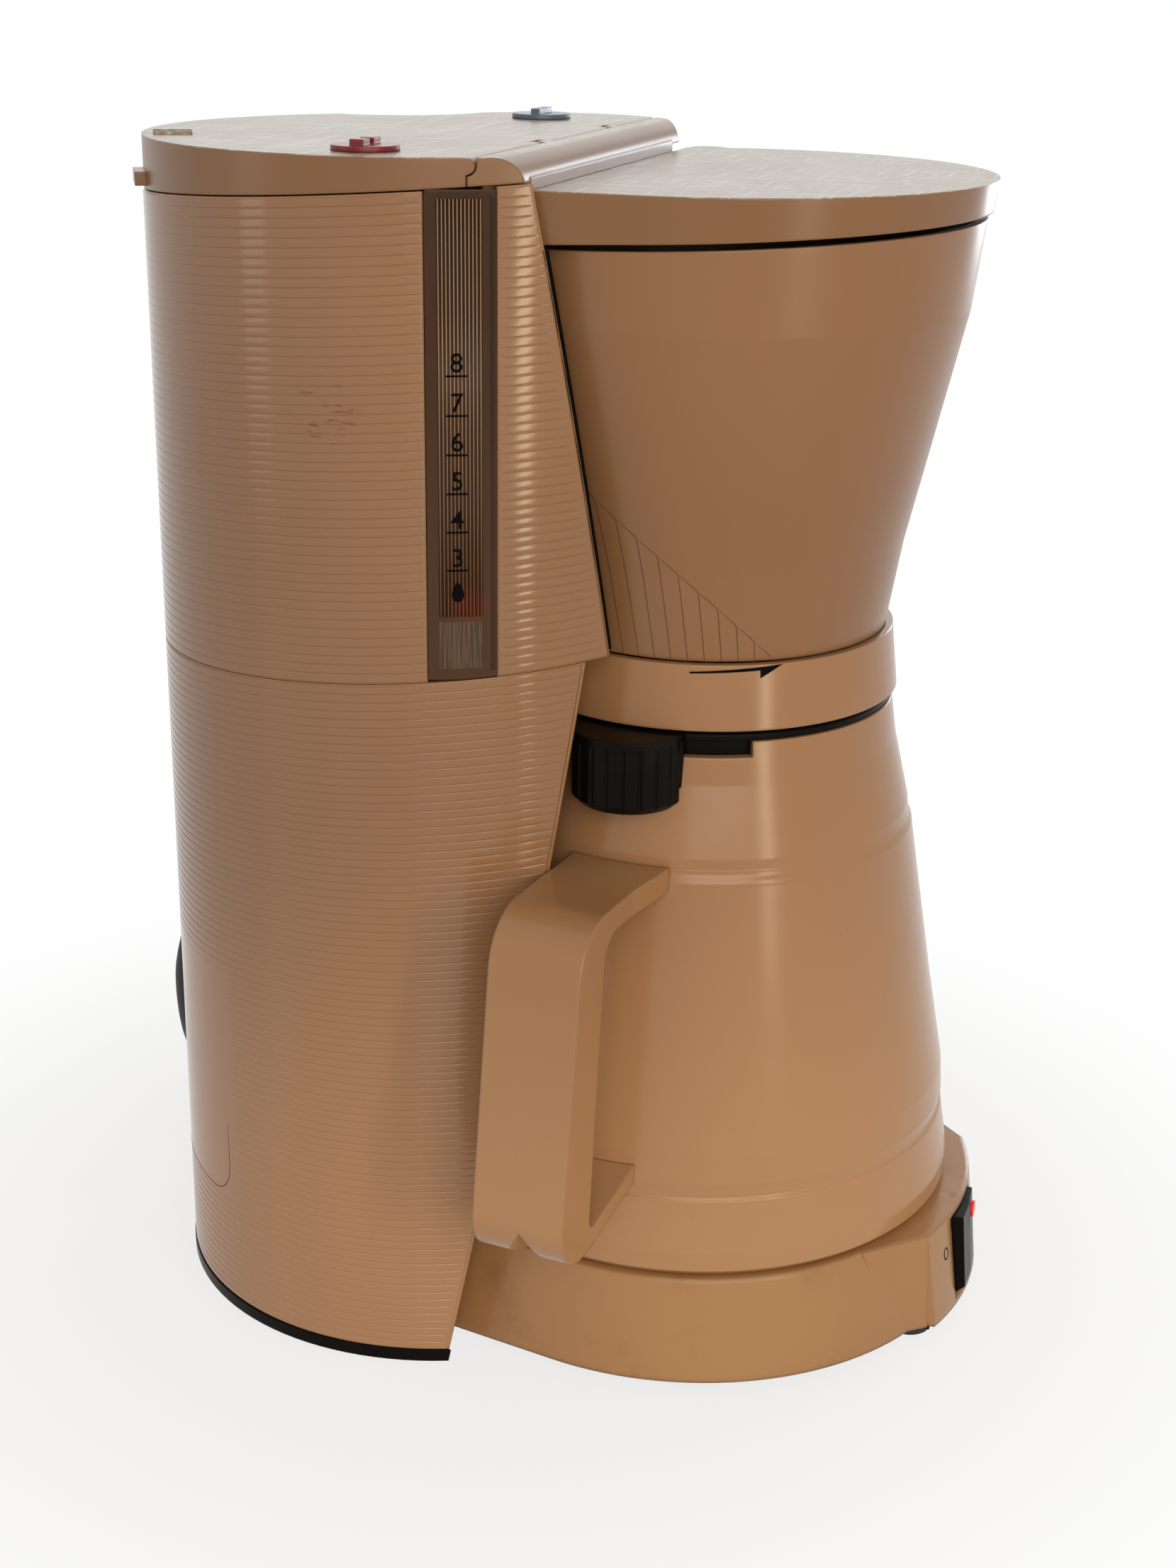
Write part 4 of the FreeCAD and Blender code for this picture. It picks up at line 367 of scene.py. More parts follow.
# Painted highlight on the flutes' crowns, brighter upwards.
FLUTE_HIGHLIGHT = smoked_plastic("flute_highlight", linear(116, 88, 64), linear(164, 130, 98))
FROST = frosted_plastic()
LENS = glowing_lens()
STEEL = metal("plain_steel", linear(190, 190, 188), 0.3)
ALLOY = metal("tube_alloy", linear(200, 200, 200), 0.4)
BRASS = metal("brass", linear(212, 178, 104), 0.28)
RUBBER = rubber("black_rubber", linear(24, 23, 23))
SILICONE = rubber("pale_silicone", linear(190, 188, 180))
GREY = dark_plastic("grey_plastic", linear(150, 150, 146), 0.45)
GLASS = silvered_glass()

SLOT_FINISH = {
    "cream_plastic": CREAM, "dark_plastic": BLACK, "smoke_window": SMOKE, "red_plastic": RED,
    "blue_plastic": BLUE, "lamp": LENS, "steel": STEEL, "tube_alloy": ALLOY, "rubber": RUBBER,
    "silicone": SILICONE, "liner_glass": GLASS, "brass": BRASS, "grey_plastic": GREY,
}
NODE_FINISH = {"base_housing": BASE_LIT_CREAM, "filter_basket": CONE_SHADED_CREAM, "tank_lid": LID_SHADED_CREAM,
               "filter_cover": COVER_SHADED_CREAM, "bridge": LID_SHADED_CREAM}
for subpart in frame["record"]["subparts"]:
    name = subpart["node"]
    node = nodes[name]
    node.data.materials.clear()
    node.data.materials.append(NODE_FINISH.get(name, SLOT_FINISH[subpart["material_slot"]]))


# Meshes from numpy grids
def finished(name, mesh, materials, body):
    """Link a mesh as a named piece that moves with a body."""
    for material in materials:
        mesh.materials.append(material)
    piece = bpy.data.objects.new(name, mesh)
    scene.collection.objects.link(piece)
    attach(piece, body)
    return piece


def grid_mesh(name, points, smooth=True):
    """Quads over a grid of points in millimetres; they face along columns cross rows."""
    rows, columns = points.shape[:2]
    index = np.arange(rows * columns).reshape(rows, columns)
    corners = (index[:-1, :-1], index[:-1, 1:], index[1:, 1:], index[1:, :-1])
    quads = np.stack(corners, axis=-1).reshape(-1, 4)
    mesh = bpy.data.meshes.new(name)
    mesh.from_pydata((points.reshape(-1, 3) * MM).tolist(), [], quads.tolist())
    mesh.polygons.foreach_set("use_smooth", np.full(len(quads), smooth))
    mesh.update()
    return mesh


def joined_mesh(name, meshes):
    """One mesh from several, with their points and faces in order."""
    places = []
    faces = []
    start = 0
    for mesh in meshes:
        flat = np.empty(len(mesh.vertices) * 3)
        mesh.vertices.foreach_get("co", flat)
        places.append(flat.reshape(-1, 3))
        corners = np.empty(len(mesh.loops), dtype=np.int32)
        mesh.loops.foreach_get("vertex_index", corners)
        counts = np.empty(len(mesh.polygons), dtype=np.int32)
        mesh.polygons.foreach_get("loop_total", counts)
        faces += np.split(corners + start, np.cumsum(counts)[:-1])
        start += len(mesh.vertices)
        bpy.data.meshes.remove(mesh)
    whole = bpy.data.meshes.new(name)
    whole.from_pydata(np.vstack(places).tolist(), [], faces)
    whole.polygons.foreach_set("use_smooth", np.full(len(faces), True))
    whole.update()
    return whole


def profile_radius(profile, height):
    """Radius of a turned form at a height: straight between its (height, radius) corners and beyond."""
    heights, radii = np.array(profile).T
    first = (radii[1] - radii[0]) / (heights[1] - heights[0])
    last = (radii[-1] - radii[-2]) / (heights[-1] - heights[-2])
    inside = np.interp(height, heights, radii)
    return inside + first * np.minimum(height - heights[0], 0) + last * np.maximum(height - heights[-1], 0)


def around(centre, reach, angle, height):
    """Points at a reach and an angle, in degrees, about an upright axis."""
    turn, reach, height = np.broadcast_arrays(np.radians(angle), reach, height)
    return np.stack([centre[0] + reach * np.cos(turn), centre[1] + reach * np.sin(turn), height], axis=-1)


def smoothstep(value, low, high):
    """3 s^2 - 2 s^3 of the share s of the way from low to high."""
    share = np.clip((value - low) / (high - low), 0.0, 1.0)
    return share * share * (3.0 - 2.0 * share)


# Ribs of the tower: bands that follow the slanted seams, parted by fine grooves
RIB_AT = np.array([0.0, 0.05, 0.1, 0.15, 0.5, 0.85, 0.9, 0.95])
RIB_PROUD = np.array([0.05, 0.24, 0.32, 0.335, 0.35, 0.335, 0.32, 0.24])
RIB_CREST = 0.35
TANK_RIBS = 51
COLUMN_RIBS = 86
TUCK = -0.2
RIB_COLUMN = 2.2
FADE = 3.0
SHORT_FADE = 0.7
END_COLUMN = 0.7
HEIGHT_GUESS = 40.0
EDGE_MARGIN = 0.7
MAIN_END = 43.2
FLUTE_ENDS = (260.0, 168.8)
LOBE_END = 46.6
BAY_SPAN = (56.0, 116.0)
BAY_SHARES = (0.13, 0.645)
GAUGE_LEFT = GAUGE_MIDDLE - GAUGE_HALF - 0.25
GAUGE_RIGHT = GAUGE_MIDDLE + GAUGE_HALF + 0.25
PANEL_EDGE = (150.5, 152.5)
PANEL_FOOT = (36.0, 38.0)
PANEL_TOP = (108.0, 114.0)


def rib_rows(count, low, high):
    """Shares of the wall's height and proud distances, from a low to a high share, sunk at both ends."""
    share = ((np.arange(count)[:, None] + RIB_AT[None, :]) / count).ravel()
    proud = np.tile(RIB_PROUD, count)
    kept = (share >= low) & (share <= high)
    share = share[kept]
    proud = proud[kept]
    share = np.concatenate([share[:1], share, share[-1:]])
    return share, np.concatenate([[TUCK], proud, [TUCK]])


def ribbed_wall(name, centre, radius, ends, heights, count, span=(0.0, 1.0), hollow=False,
                fades=(0.0, 0.0), plain=None):
    """Ribs on an upright round.

    A row at share v and a column at share u stand at angle a = a0(z) + (a1(z) - a0(z)) u and height
    z = low(y) + (high(y) - low(y)) v, at radius R + p, where p is the rib's profile. The ends a0 and
    a1 are worked out at the heights that the rows have at one y, HEIGHT_GUESS before the centre.
    The grooves fade out over the lengths in fades and in the area named by plain, and the edges
    sink under the wall. In a hollow round the ribs stand inwards.
    """
    share, proud = rib_rows(count, *span)
    guess = heights(centre[1] if hollow else centre[1] - HEIGHT_GUESS, share)
    start, stop = (np.broadcast_to(end(guess), guess.shape)[:, None] for end in ends)
    columns = int(np.abs(stop - start).max() / RIB_COLUMN * radius / TOWER_RADIUS) + 6
    ends_in = END_COLUMN / np.abs(stop - start).max() / math.radians(radius)
    inside = np.linspace(0.0, 1.0, columns)[1:-1]
    across = np.concatenate([[0.0, 0.0, ends_in], inside, [1 - ends_in, 1.0, 1.0]])
    angle = start + (stop - start) * across[None, :]
    height = heights(centre[1] + radius * np.sin(np.radians(angle)), share[:, None])
    depth = np.broadcast_to(proud[:, None], angle.shape).copy()
    grooved = np.ones(angle.shape)
    for length, edge in zip(fades, (start, stop)):
        if length:
            grooved *= smoothstep(np.radians(np.abs(angle - edge)) * radius, 0.0, length)
    if plain is not None:
        grooved *= 1.0 - plain(angle, height)
    depth = np.where(depth > TUCK, RIB_CREST - (RIB_CREST - depth) * grooved, depth)
    depth[:, 0] = TUCK
    depth[:, -1] = TUCK
    reach = radius - depth if hollow else radius + depth
    wall = around(centre, reach, angle, height)
    finished(name, grid_mesh(name, wall), [RIBBED], "machine")


def near_edge(cone):
    """Angle on the main round, on its near side, at which it meets a cone about the brewing axis."""
    middle = math.hypot(*TOWER)
    heading = 180.0 + math.degrees(math.atan2(-TOWER[0], TOWER[1]))

    def angle(height):
        reach = profile_radius(cone, height)
        lift = (reach ** 2 - middle ** 2 - TOWER_RADIUS ** 2) / (2 * TOWER_RADIUS * middle)
        return heading - np.degrees(np.arcsin(np.clip(lift, -1.0, 1.0))) - EDGE_MARGIN

    return angle


def far_edge(cone):
    """Angle on the lobe at which it meets a cone about the brewing axis."""
    middle = math.hypot(*LOBE)
    heading = math.degrees(math.atan2(LOBE[1], LOBE[0]))

    def angle(height):
        reach = profile_radius(cone, height)
        lift = (reach ** 2 - middle ** 2 - LOBE_RADIUS ** 2) / (2 * LOBE_RADIUS * middle)
        return heading - np.degrees(np.arccos(np.clip(lift, -1.0, 1.0))) + 2 * EDGE_MARGIN

    return angle


def fixed(angle):
    """An end of a wall that stays at one angle."""
    return lambda height: np.full_like(height, angle)


def tank_heights(y, share):
    """Heights on the tank between its two slanted seams."""
    low = TANK_SEAM + 0.3 - SEAM_SLANT * y
    return low + (LID_SEAM - TANK_SEAM - 1.0) * share


def column_heights(y, share):
    """Heights on the column between its level foot and the slanted seam."""
    low = COLUMN_FOOT + 0.25
    return low + (TANK_SEAM - 0.5 - SEAM_SLANT * y - low) * share


def smooth_panel(angle, height):
    """1 in the plain area beside the cord bay."""
    beside = smoothstep(angle, *PANEL_EDGE[::-1])
    return beside * smoothstep(height, *PANEL_FOOT) * smoothstep(height, *PANEL_TOP[::-1])


def make_ribs():
    """All ribbed walls, parted at the gauge, at the cord bay and where the plan's rounds meet."""
    tank = (tank_heights, TANK_RIBS)
    column = (column_heights, COLUMN_RIBS)
    main = (TOWER, TOWER_RADIUS)
    bay = (fixed(BAY_SPAN[0]), fixed(BAY_SPAN[1]))
    ribbed_wall("tank_ribs_near", *main, (fixed(GAUGE_RIGHT), near_edge(NEST)), *tank,
                fades=(SHORT_FADE, FADE))
    ribbed_wall("tank_ribs_main", *main, (fixed(MAIN_END), fixed(GAUGE_LEFT)), *tank,
                fades=(0.0, SHORT_FADE))
    ribbed_wall("column_ribs_near", *main, (bay[1], near_edge(RECESS)), *column,
                fades=(0.0, FADE), plain=smooth_panel)
    ribbed_wall("column_ribs_over_bay", *main, bay, *column, span=(BAY_SHARES[1], 1.0))
    ribbed_wall("column_ribs_under_bay", *main, bay, *column, span=(0.0, BAY_SHARES[0]))
    ribbed_wall("column_ribs_far", *main, (fixed(MAIN_END), bay[0]), *column)
    for name, wall, cone in (("tank", tank, NEST), ("column", column, RECESS)):
        ribbed_wall(name + "_ribs_flute", FLUTE, FLUTE_RADIUS,
                    (fixed(FLUTE_ENDS[0]), fixed(FLUTE_ENDS[1])), *wall, hollow=True)
        ribbed_wall(name + "_ribs_lobe", LOBE, LOBE_RADIUS,
                    (far_edge(cone), fixed(LOBE_END)), *wall, fades=(FADE, 0.0))


make_ribs()


# Lines and marks that lie on turned forms
AXIS = (0.0, 0.0)
LINE_SUNK = 0.03
LINE_CROWN = 0.6
LINE_LIFT = 0.05


def line_on(form, angle, height, width, lift):
    """A low rounded line along a path of angles and heights on a turned form, with sunk edges."""
    centre, profile = form
    path = around(centre, profile_radius(profile, height), angle, height)
    slope = profile_radius(profile, height + 0.5) - profile_radius(profile, height - 0.5)
    turn = np.radians(angle)
    outward = np.stack([np.cos(turn), np.sin(turn), -slope], axis=1)
    outward /= np.linalg.norm(outward, axis=1, keepdims=True)
    along = np.gradient(path, axis=0)
    side = np.cross(outward, along)
    side *= np.broadcast_to(width, height.shape)[:, None] / 2 / np.linalg.norm(side, axis=1, keepdims=True)
    sunk = path - outward * LINE_SUNK
    crown = path + outward * lift
    return np.stack([sunk - side, crown - LINE_CROWN * side, crown + LINE_CROWN * side, sunk + side])


def patch_on(form, angle, low, high, lift, rows=3):
    """A thin plate on a turned form, between two edges given at each angle."""
    centre, profile = form
    share = np.linspace(0.0, 1.0, rows)[:, None]
    height = low + (high - low) * share
    return around(centre, profile_radius(profile, height) + lift, angle[None, :], height)


CONE = (AXIS, BASKET)
GROOVE_COUNT = 10
GROOVE_TIP = 214.5
GROOVE_LEAN = 0.12
GROOVE_WIDTH = 0.28
GROOVE_STEP = 5.05
GROOVE_FOOT = 204.35
GROOVE_RISE = 0.829
GROOVE_TAIL = 5.3
GROOVE_CORNER = (0.6, 0.9)
GROOVE_THIN = 0.6
TIP_POINTS = 10
THIN_POINTS = 9


def rounded(first, middle, last):
    """Five values on the quadratic (1 - s)^2 first + 2 s (1 - s) middle + s^2 last, without its ends."""
    share = np.linspace(0.0, 1.0, 7)[1:-1]
    return (1 - share) ** 2 * first + 2 * share * (1 - share) * middle + share ** 2 * last


def make_grooves():
    """Fine lines up the cone: line i starts at a = a0 - 5.05 i, leans as it rises and ends in a tail.

    The lines end on the slope z = z0 + 0.829 (a0 - a), where each turns over in a short quadratic
    curve and runs along it.
    """
    lines = []
    for number in range(GROOVE_COUNT):
        foot = GROOVE_TIP - GROOVE_STEP * number
        start = GROOVE_FOOT + 0.6
        reach = start - GROOVE_RISE * (foot + GROOVE_LEAN * GROOVE_FOOT - GROOVE_TIP)
        bend = reach / (1 - GROOVE_RISE * GROOVE_LEAN)
        middle = foot - GROOVE_LEAN * (bend - GROOVE_FOOT)
        corner = min(1.0, 0.5 * number)
        upright = np.linspace(GROOVE_FOOT, max(bend - GROOVE_CORNER[1] * corner, GROOVE_FOOT), 14)
        leaning = foot - GROOVE_LEAN * (upright - GROOVE_FOOT)
        sloped = np.linspace(middle - GROOVE_CORNER[0] * corner, leaning[-1] - GROOVE_TAIL, TIP_POINTS)
        tail = start + GROOVE_RISE * (GROOVE_TIP - sloped)
        kept = slice(None) if number else slice(-TIP_POINTS, None)
        angles = np.concatenate([leaning, rounded(leaning[-1], middle, sloped[0]), sloped])[kept]
        heights = np.concatenate([upright, rounded(upright[-1], bend, tail[0]), tail])[kept]
        count = len(heights)
        thinner = smoothstep(np.arange(count), count - THIN_POINTS, count - 1)
        widths = GROOVE_WIDTH * (1.0 - GROOVE_THIN * thinner)
        line = line_on(CONE, angles, heights, widths, LINE_LIFT)
        lines.append(grid_mesh(f"cone_line_{number}", line))
    finished("cone_grooves", joined_mesh("cone_grooves", lines), [GROOVE], "basket")


ARROW_START = 190.2
ARROW_NECK = 210.6
ARROW_TIP = 217.4
ARROW_LIFT = 0.09


def make_arrow():
    """A thin shaft with half a head on the ring under the cone, pointing the way the basket swings.

    Its edges are straight in angle and height: both climb along the shaft, and meet at the tip.
    """
    ring = (AXIS, CARRIER)
    shaft = np.linspace(ARROW_START, ARROW_NECK, 18)
    share = (shaft - ARROW_START) / 27.3
    body = patch_on(ring, shaft, 201.35 + 1.0 * share, 201.85 + 1.55 * share, ARROW_LIFT, 2)
    head = np.linspace(ARROW_NECK, ARROW_TIP, 10)
    share = (head - ARROW_NECK) / 6.8
    point = patch_on(ring, head, 200.0 + 3.4 * share, 203.02 + 0.4 * share, ARROW_LIFT, 4)
    marks = [grid_mesh("arrow_shaft", body), grid_mesh("arrow_head", point)]
    finished("swing_arrow", joined_mesh("swing_arrow", marks), [PRINT_AND_SHADOW_INK], "machine")


OFF_ANGLE = 255.6
OFF_HEIGHT = 23.7
OFF_OVAL = (1.25, 1.75)
OFF_WIDTH = 0.5
OFF_LIFT = 0.06


def make_off_mark():
    """An oval ring beside the switch: x = 1.25 cos t, z = 1.75 sin t, drawn 0.5 mm wide."""
    turn = np.linspace(0.0, 2.0 * np.pi, 49)
    reach = profile_radius(NOSE, OFF_HEIGHT)
    angle = OFF_ANGLE + np.degrees(OFF_OVAL[0] * np.cos(turn) / reach)
    height = OFF_HEIGHT + OFF_OVAL[1] * np.sin(turn)
    ring = line_on((AXIS, NOSE), angle, height, OFF_WIDTH, OFF_LIFT)
    finished("off_mark", grid_mesh("off_mark", ring), [PRINT_AND_SHADOW_INK], "machine")


PANEL_LINE = (113.5, 141.0, 148.4)
PANEL_LINE_FOOT = 38.0
PANEL_CORNER = 10.0
PANEL_RISE = (50.0, 62.0)
PANEL_LINE_WIDTH = 0.5


def make_panel_line():
    """The engraved line round the plain area by the cord bay: along its foot, round a corner and up.

    The line grows thinner round the corner, to a fifth of its width at its upper end.
    """
    start, bend, side = PANEL_LINE
    corner = np.linspace(0.0, np.pi / 2, 12)[1:]
    angle = np.concatenate([np.linspace(start, bend, 30), bend + (side - bend) * np.sin(corner),
                            np.full(14, side)])
    height = np.concatenate([np.full(30, PANEL_LINE_FOOT),
                             PANEL_LINE_FOOT + PANEL_CORNER * (1.0 - np.cos(corner)),
                             np.linspace(*PANEL_RISE, 14)])
    count = len(height)
    width = PANEL_LINE_WIDTH * (1.0 - 0.8 * smoothstep(np.arange(count), count - 22, count - 1))
    crest = TOWER_RADIUS + RIB_CREST
    wall = (TOWER, ((0.0, crest), (TOWER_TOP, crest)))
    line = line_on(wall, angle, height, width, LINE_LIFT)
    finished("panel_line", grid_mesh("panel_line", line), [GROOVE], "machine")


# A dark strip of painted shadow in the gap between the tower and the cone.
GAP_SHADOW_SPAN = (207.6, 311.0)
GAP_SHADOW_ALONG = np.array([-0.5, 1.1, 1.1, -0.5, -0.5])
GAP_SHADOW_PROUD = np.array([0.02, -0.2, -0.9, -1.1, 0.02])


def make_gap_lip():
    """A dark strip on the tower's near edge by the cone, painted shadow of the gap behind it: 1.1 mm wide,
    it carries the round on.
    """
    height = np.linspace(*GAP_SHADOW_SPAN, 60)[:, None]
    edge = near_edge(NEST)(height) + EDGE_MARGIN
    beyond = np.degrees(GAP_SHADOW_ALONG / TOWER_RADIUS)[None, :]
    reach = TOWER_RADIUS + GAP_SHADOW_PROUD[None, :]
    strip = around(TOWER, reach, edge + beyond, height)
    finished("gap_shadow_strip", grid_mesh("gap_shadow_strip", strip, smooth=False), [PRINT_AND_SHADOW_INK], "machine")


# Each seam: its name, the walls under and over it, the heights of its step and its groove's depth
JUG_SEAMS = (
    ("jug_shoulder_seam", ((124.0, 64.6), (145.5, 61.0)), ((147.0, 60.0), (151.5, 59.6)),
     (145.2, 147.8), 0.0),
    ("jug_band_seam", ((41.5, 77.4), (57.0, 74.9)), ((57.2, 74.3), (61.7, 74.8)),
     (56.8, 58.2), 0.2),
)
SEAM_REACH = 1.0
SEAM_LIFT = 0.05
SEAM_HALF = 0.45


def make_jug_seams():
    """Soft steps where the jug's pieces meet: r = a(z) + (b(z) - a(z)) s(z) - d exp(-((z - m) / h)^2).

    a and b are the walls under and over the seam, s is a smooth step between two heights, m their
    middle, and d the depth of a groove of half width h.
    """
    angle = np.linspace(0.0, 360.0, 181)[None, :]
    for name, under, over, (low, high), depth in JUG_SEAMS:
        height = np.linspace(low - SEAM_REACH, high + SEAM_REACH, 25)
        wall = profile_radius(under, height)
        step = (profile_radius(over, height) - wall) * smoothstep(height, low, high)
        groove = depth * np.exp(-((height - (low + high) / 2) / SEAM_HALF) ** 2)
        reach = wall + step + SEAM_LIFT - groove
        reach[[0, -1]] -= 2 * SEAM_LIFT
        band = around(AXIS, reach[:, None], angle, height[:, None])
        finished(name, grid_mesh(name, band), [CREAM], "carafe")


make_grooves()
make_jug_seams()
make_gap_lip()
make_arrow()
make_off_mark()
make_panel_line()


# Gauge: fluted band, scale, drop and frosted block on the smoked window
FLUTES = 12
FLUTE_PITCH = 0.935
FLUTE_LEFT = -5.85
FLUTE_FOOT = 220.7
FLUTE_TOP = 323.6
FLUTE_AT = np.array([0.0, 0.2, 0.37, 0.63, 0.8])
FLUTE_PROUD = np.array([0.02, 0.16, 0.22, 0.22, 0.16])
SCALE_TOP = 281.5
SCALE_STEP = 9.75
SCALE_SHIFT = -1.1
DIGIT_SIZE = 6.6
DIGIT_SWELL = 0.03
DIGIT_RISE = 1.0
BAR_HALF = 2.65
BAR_THICK = 0.48
MARK_LIFT = 0.3
FIRST_CUP = 3
LAST_CUP = 8
DROP_HEIGHT = 227.1
DROP_HALF = (1.55, 2.5)


def on_gauge(offset, height, lift):
    """Points on the window: an offset to the right of its middle and a height, both in millimetres."""
    angle = GAUGE_MIDDLE + np.degrees(offset / GAUGE_RADIUS)
    return around(TOWER, GAUGE_RADIUS + lift, angle, height)


def make_flutes():
    """Upright flutes of pitch 0.935 mm, whose narrow crowns carry a painted highlight."""
    at = (np.arange(FLUTES)[:, None] + FLUTE_AT[None, :]).ravel()
    offset = FLUTE_LEFT + FLUTE_PITCH * np.concatenate([at, [FLUTES]])
    lift = np.concatenate([np.tile(FLUTE_PROUD, FLUTES), FLUTE_PROUD[:1]])
    height = np.array([FLUTE_FOOT, FLUTE_FOOT, FLUTE_TOP, FLUTE_TOP])[:, None]
    sunk = np.array([True, False, False, True])[:, None]
    points = on_gauge(offset[None, :], height, np.where(sunk, -0.05, lift[None, :]))
    mesh = grid_mesh("gauge_flutes", points)
    # The flutes' crowns, which take the painted highlight.
    crown = np.tile(np.arange(len(offset) - 1) % len(FLUTE_AT) == 2, 3).astype(np.int32)
    finished("gauge_flutes", mesh, [FLUTED, FLUTE_HIGHLIGHT], "machine")
    mesh.polygons.foreach_set("material_index", crown)


def scale_level(number):
    """Height of the mark for a number of cups."""
    return SCALE_TOP - SCALE_STEP * (LAST_CUP - number)


def digit_mesh(number):
    """A figure as flat faces, wrapped on the window over its flutes."""
    curve = bpy.data.curves.new("figure", "FONT")
    curve.body = str(number)
    curve.size = DIGIT_SIZE
    curve.offset = DIGIT_SWELL
    curve.align_x = "CENTER"
    figure = bpy.data.objects.new("figure", curve)
    scene.collection.objects.link(figure)
    bpy.context.view_layer.update()
    mesh = bpy.data.meshes.new_from_object(figure.evaluated_get(bpy.context.evaluated_depsgraph_get()))
    bpy.data.objects.remove(figure)
    bpy.data.curves.remove(curve)
    flat = np.empty(len(mesh.vertices) * 3)
    mesh.vertices.foreach_get("co", flat)
    flat = flat.reshape(-1, 3)
    foot = scale_level(number) + DIGIT_RISE
    wrapped = on_gauge(flat[:, 0] + SCALE_SHIFT, foot + flat[:, 1], MARK_LIFT)
    mesh.vertices.foreach_set("co", (wrapped * MM).ravel())
    mesh.update()
    return mesh


def make_scale():
    """Figures over bars, and under them a drop.

    The drop's half width at turn t is 1.55 sin t (0.5 + 0.5 sin^2(t / 2)) 1.25, at height z0 + 2.5 cos t.
    """
    marks = []
    for number in range(FIRST_CUP, LAST_CUP + 1):
        marks.append(digit_mesh(number))
        offset = np.linspace(-BAR_HALF, BAR_HALF, 9)[None, :] + SCALE_SHIFT
        edges = scale_level(number) + np.array([-BAR_THICK, BAR_THICK])[:, None] / 2
        marks.append(grid_mesh(f"scale_bar_{number}", on_gauge(offset, edges, MARK_LIFT)))
    turn = np.linspace(0.0, np.pi, 22)[None, :]
    half = DROP_HALF[0] * np.sin(turn) * (0.5 + 0.5 * np.sin(turn / 2) ** 2) * 1.25
    height = DROP_HEIGHT + DROP_HALF[1] * np.cos(turn)
    side = np.array([1.0, 0.0, -1.0])[:, None]
    marks.append(grid_mesh("scale_drop", on_gauge(SCALE_SHIFT + half * side, height, MARK_LIFT)))
    finished("gauge_scale", joined_mesh("gauge_scale", marks), [PRINT_AND_SHADOW_INK], "machine")


BLOCK_EDGE = np.array([0.0, 0.15, 0.3])
BLOCK_INSIDE = 0.4
BLOCK_SUNK = -0.04


def raised_block(name, left, right, low, high, lift, material):
    """A low plate on the window with its edges sunk in."""
    inside = np.linspace(left + BLOCK_INSIDE, right - BLOCK_INSIDE, 7)
    offset = np.concatenate([left + BLOCK_EDGE, inside, right - BLOCK_EDGE[::-1]])[None, :]
    height = np.concatenate([low + BLOCK_EDGE, high - BLOCK_EDGE[::-1]])[:, None]
    raised = (offset > left) & (offset < right) & (height > low) & (height < high)
    points = on_gauge(offset, height, np.where(raised, lift, BLOCK_SUNK))
    finished(name, grid_mesh(name, points), [material], "machine")


make_flutes()
make_scale()
raised_block("gauge_frost", -5.9, 5.05, 206.9, 219.4, 0.12, FROST)
raised_block("gauge_bevel", 7.2, 8.5, 206.2, 324.2, 0.16, FLUTED)
raised_block("gauge_cap", -8.6, 8.6, 323.9, 325.75, 0.1, SMOKE)


# Spring of the drip stop; the real one shortens as the plunger lifts, and this one keeps the length of the
# part's box.
SPRING_TURNS = 3
SPRING_WIRE = 0.25
TURN_POINTS = 32
WIRE_POINTS = 8


def make_spring():
    """A tube about the helix (R cos t, R sin t, z0 + c t), pinched shut at both ends."""
    low, high = (np.array(corner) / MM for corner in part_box("drip_spring"))
    reach = (high[0] - low[0]) / 2 - SPRING_WIRE
    steps = np.linspace(0.0, 1.0, TURN_POINTS * SPRING_TURNS + 1)
    share = np.concatenate([[0.0], steps, [1.0]])[:, None]
    wire = np.full_like(share, SPRING_WIRE)
    wire[[0, -1]] = 0.0
    ring = np.linspace(0.0, -2.0 * np.pi, WIRE_POINTS + 1)[None, :]
    climb = low[2] + SPRING_WIRE + (high[2] - low[2] - 2 * SPRING_WIRE) * share
    tube = around(AXIS, reach + wire * np.cos(ring), 360.0 * SPRING_TURNS * share,
                  climb + wire * np.sin(ring))
    spring = finished("stop_spring", grid_mesh("stop_spring", tube), [STEEL], "machine")
    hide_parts("drip_spring")
    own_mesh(spring)


make_spring()

# Camera, as the photograph was taken
FOCAL_PIXELS = 3261.5
PHOTO_HEIGHT = 2212
SENSOR = 36.0
CAMERA_PLACE = Vector((-613.3, -158.6, 380.2)) * MM
HEADING = math.radians(17.48)
PITCH = math.radians(19.90)
ROLL = math.radians(0.772)


def make_camera():
    """A pinhole at CAMERA_PLACE, turned by its heading, pitch and roll."""
    data = bpy.data.cameras.new("camera")
    data.sensor_fit = "AUTO"
    data.sensor_width = SENSOR
    data.lens = FOCAL_PIXELS * SENSOR / PHOTO_HEIGHT
    data.clip_start = 0.01
    level = math.cos(PITCH)
    forward = Vector((level * math.cos(HEADING), level * math.sin(HEADING), -math.sin(PITCH)))
    right = Vector((math.sin(HEADING), -math.cos(HEADING), 0.0))
    up = right.cross(forward)
    turned_right = right * math.cos(ROLL) + up * math.sin(ROLL)
    turned_up = up * math.cos(ROLL) - right * math.sin(ROLL)
    camera = bpy.data.objects.new("camera", data)
    turn = Matrix((turned_right, turned_up, -forward)).transposed()
    camera.matrix_world = Matrix.Translation(CAMERA_PLACE) @ turn.to_4x4()
    scene.collection.objects.link(camera)
    scene.camera = camera


make_camera()

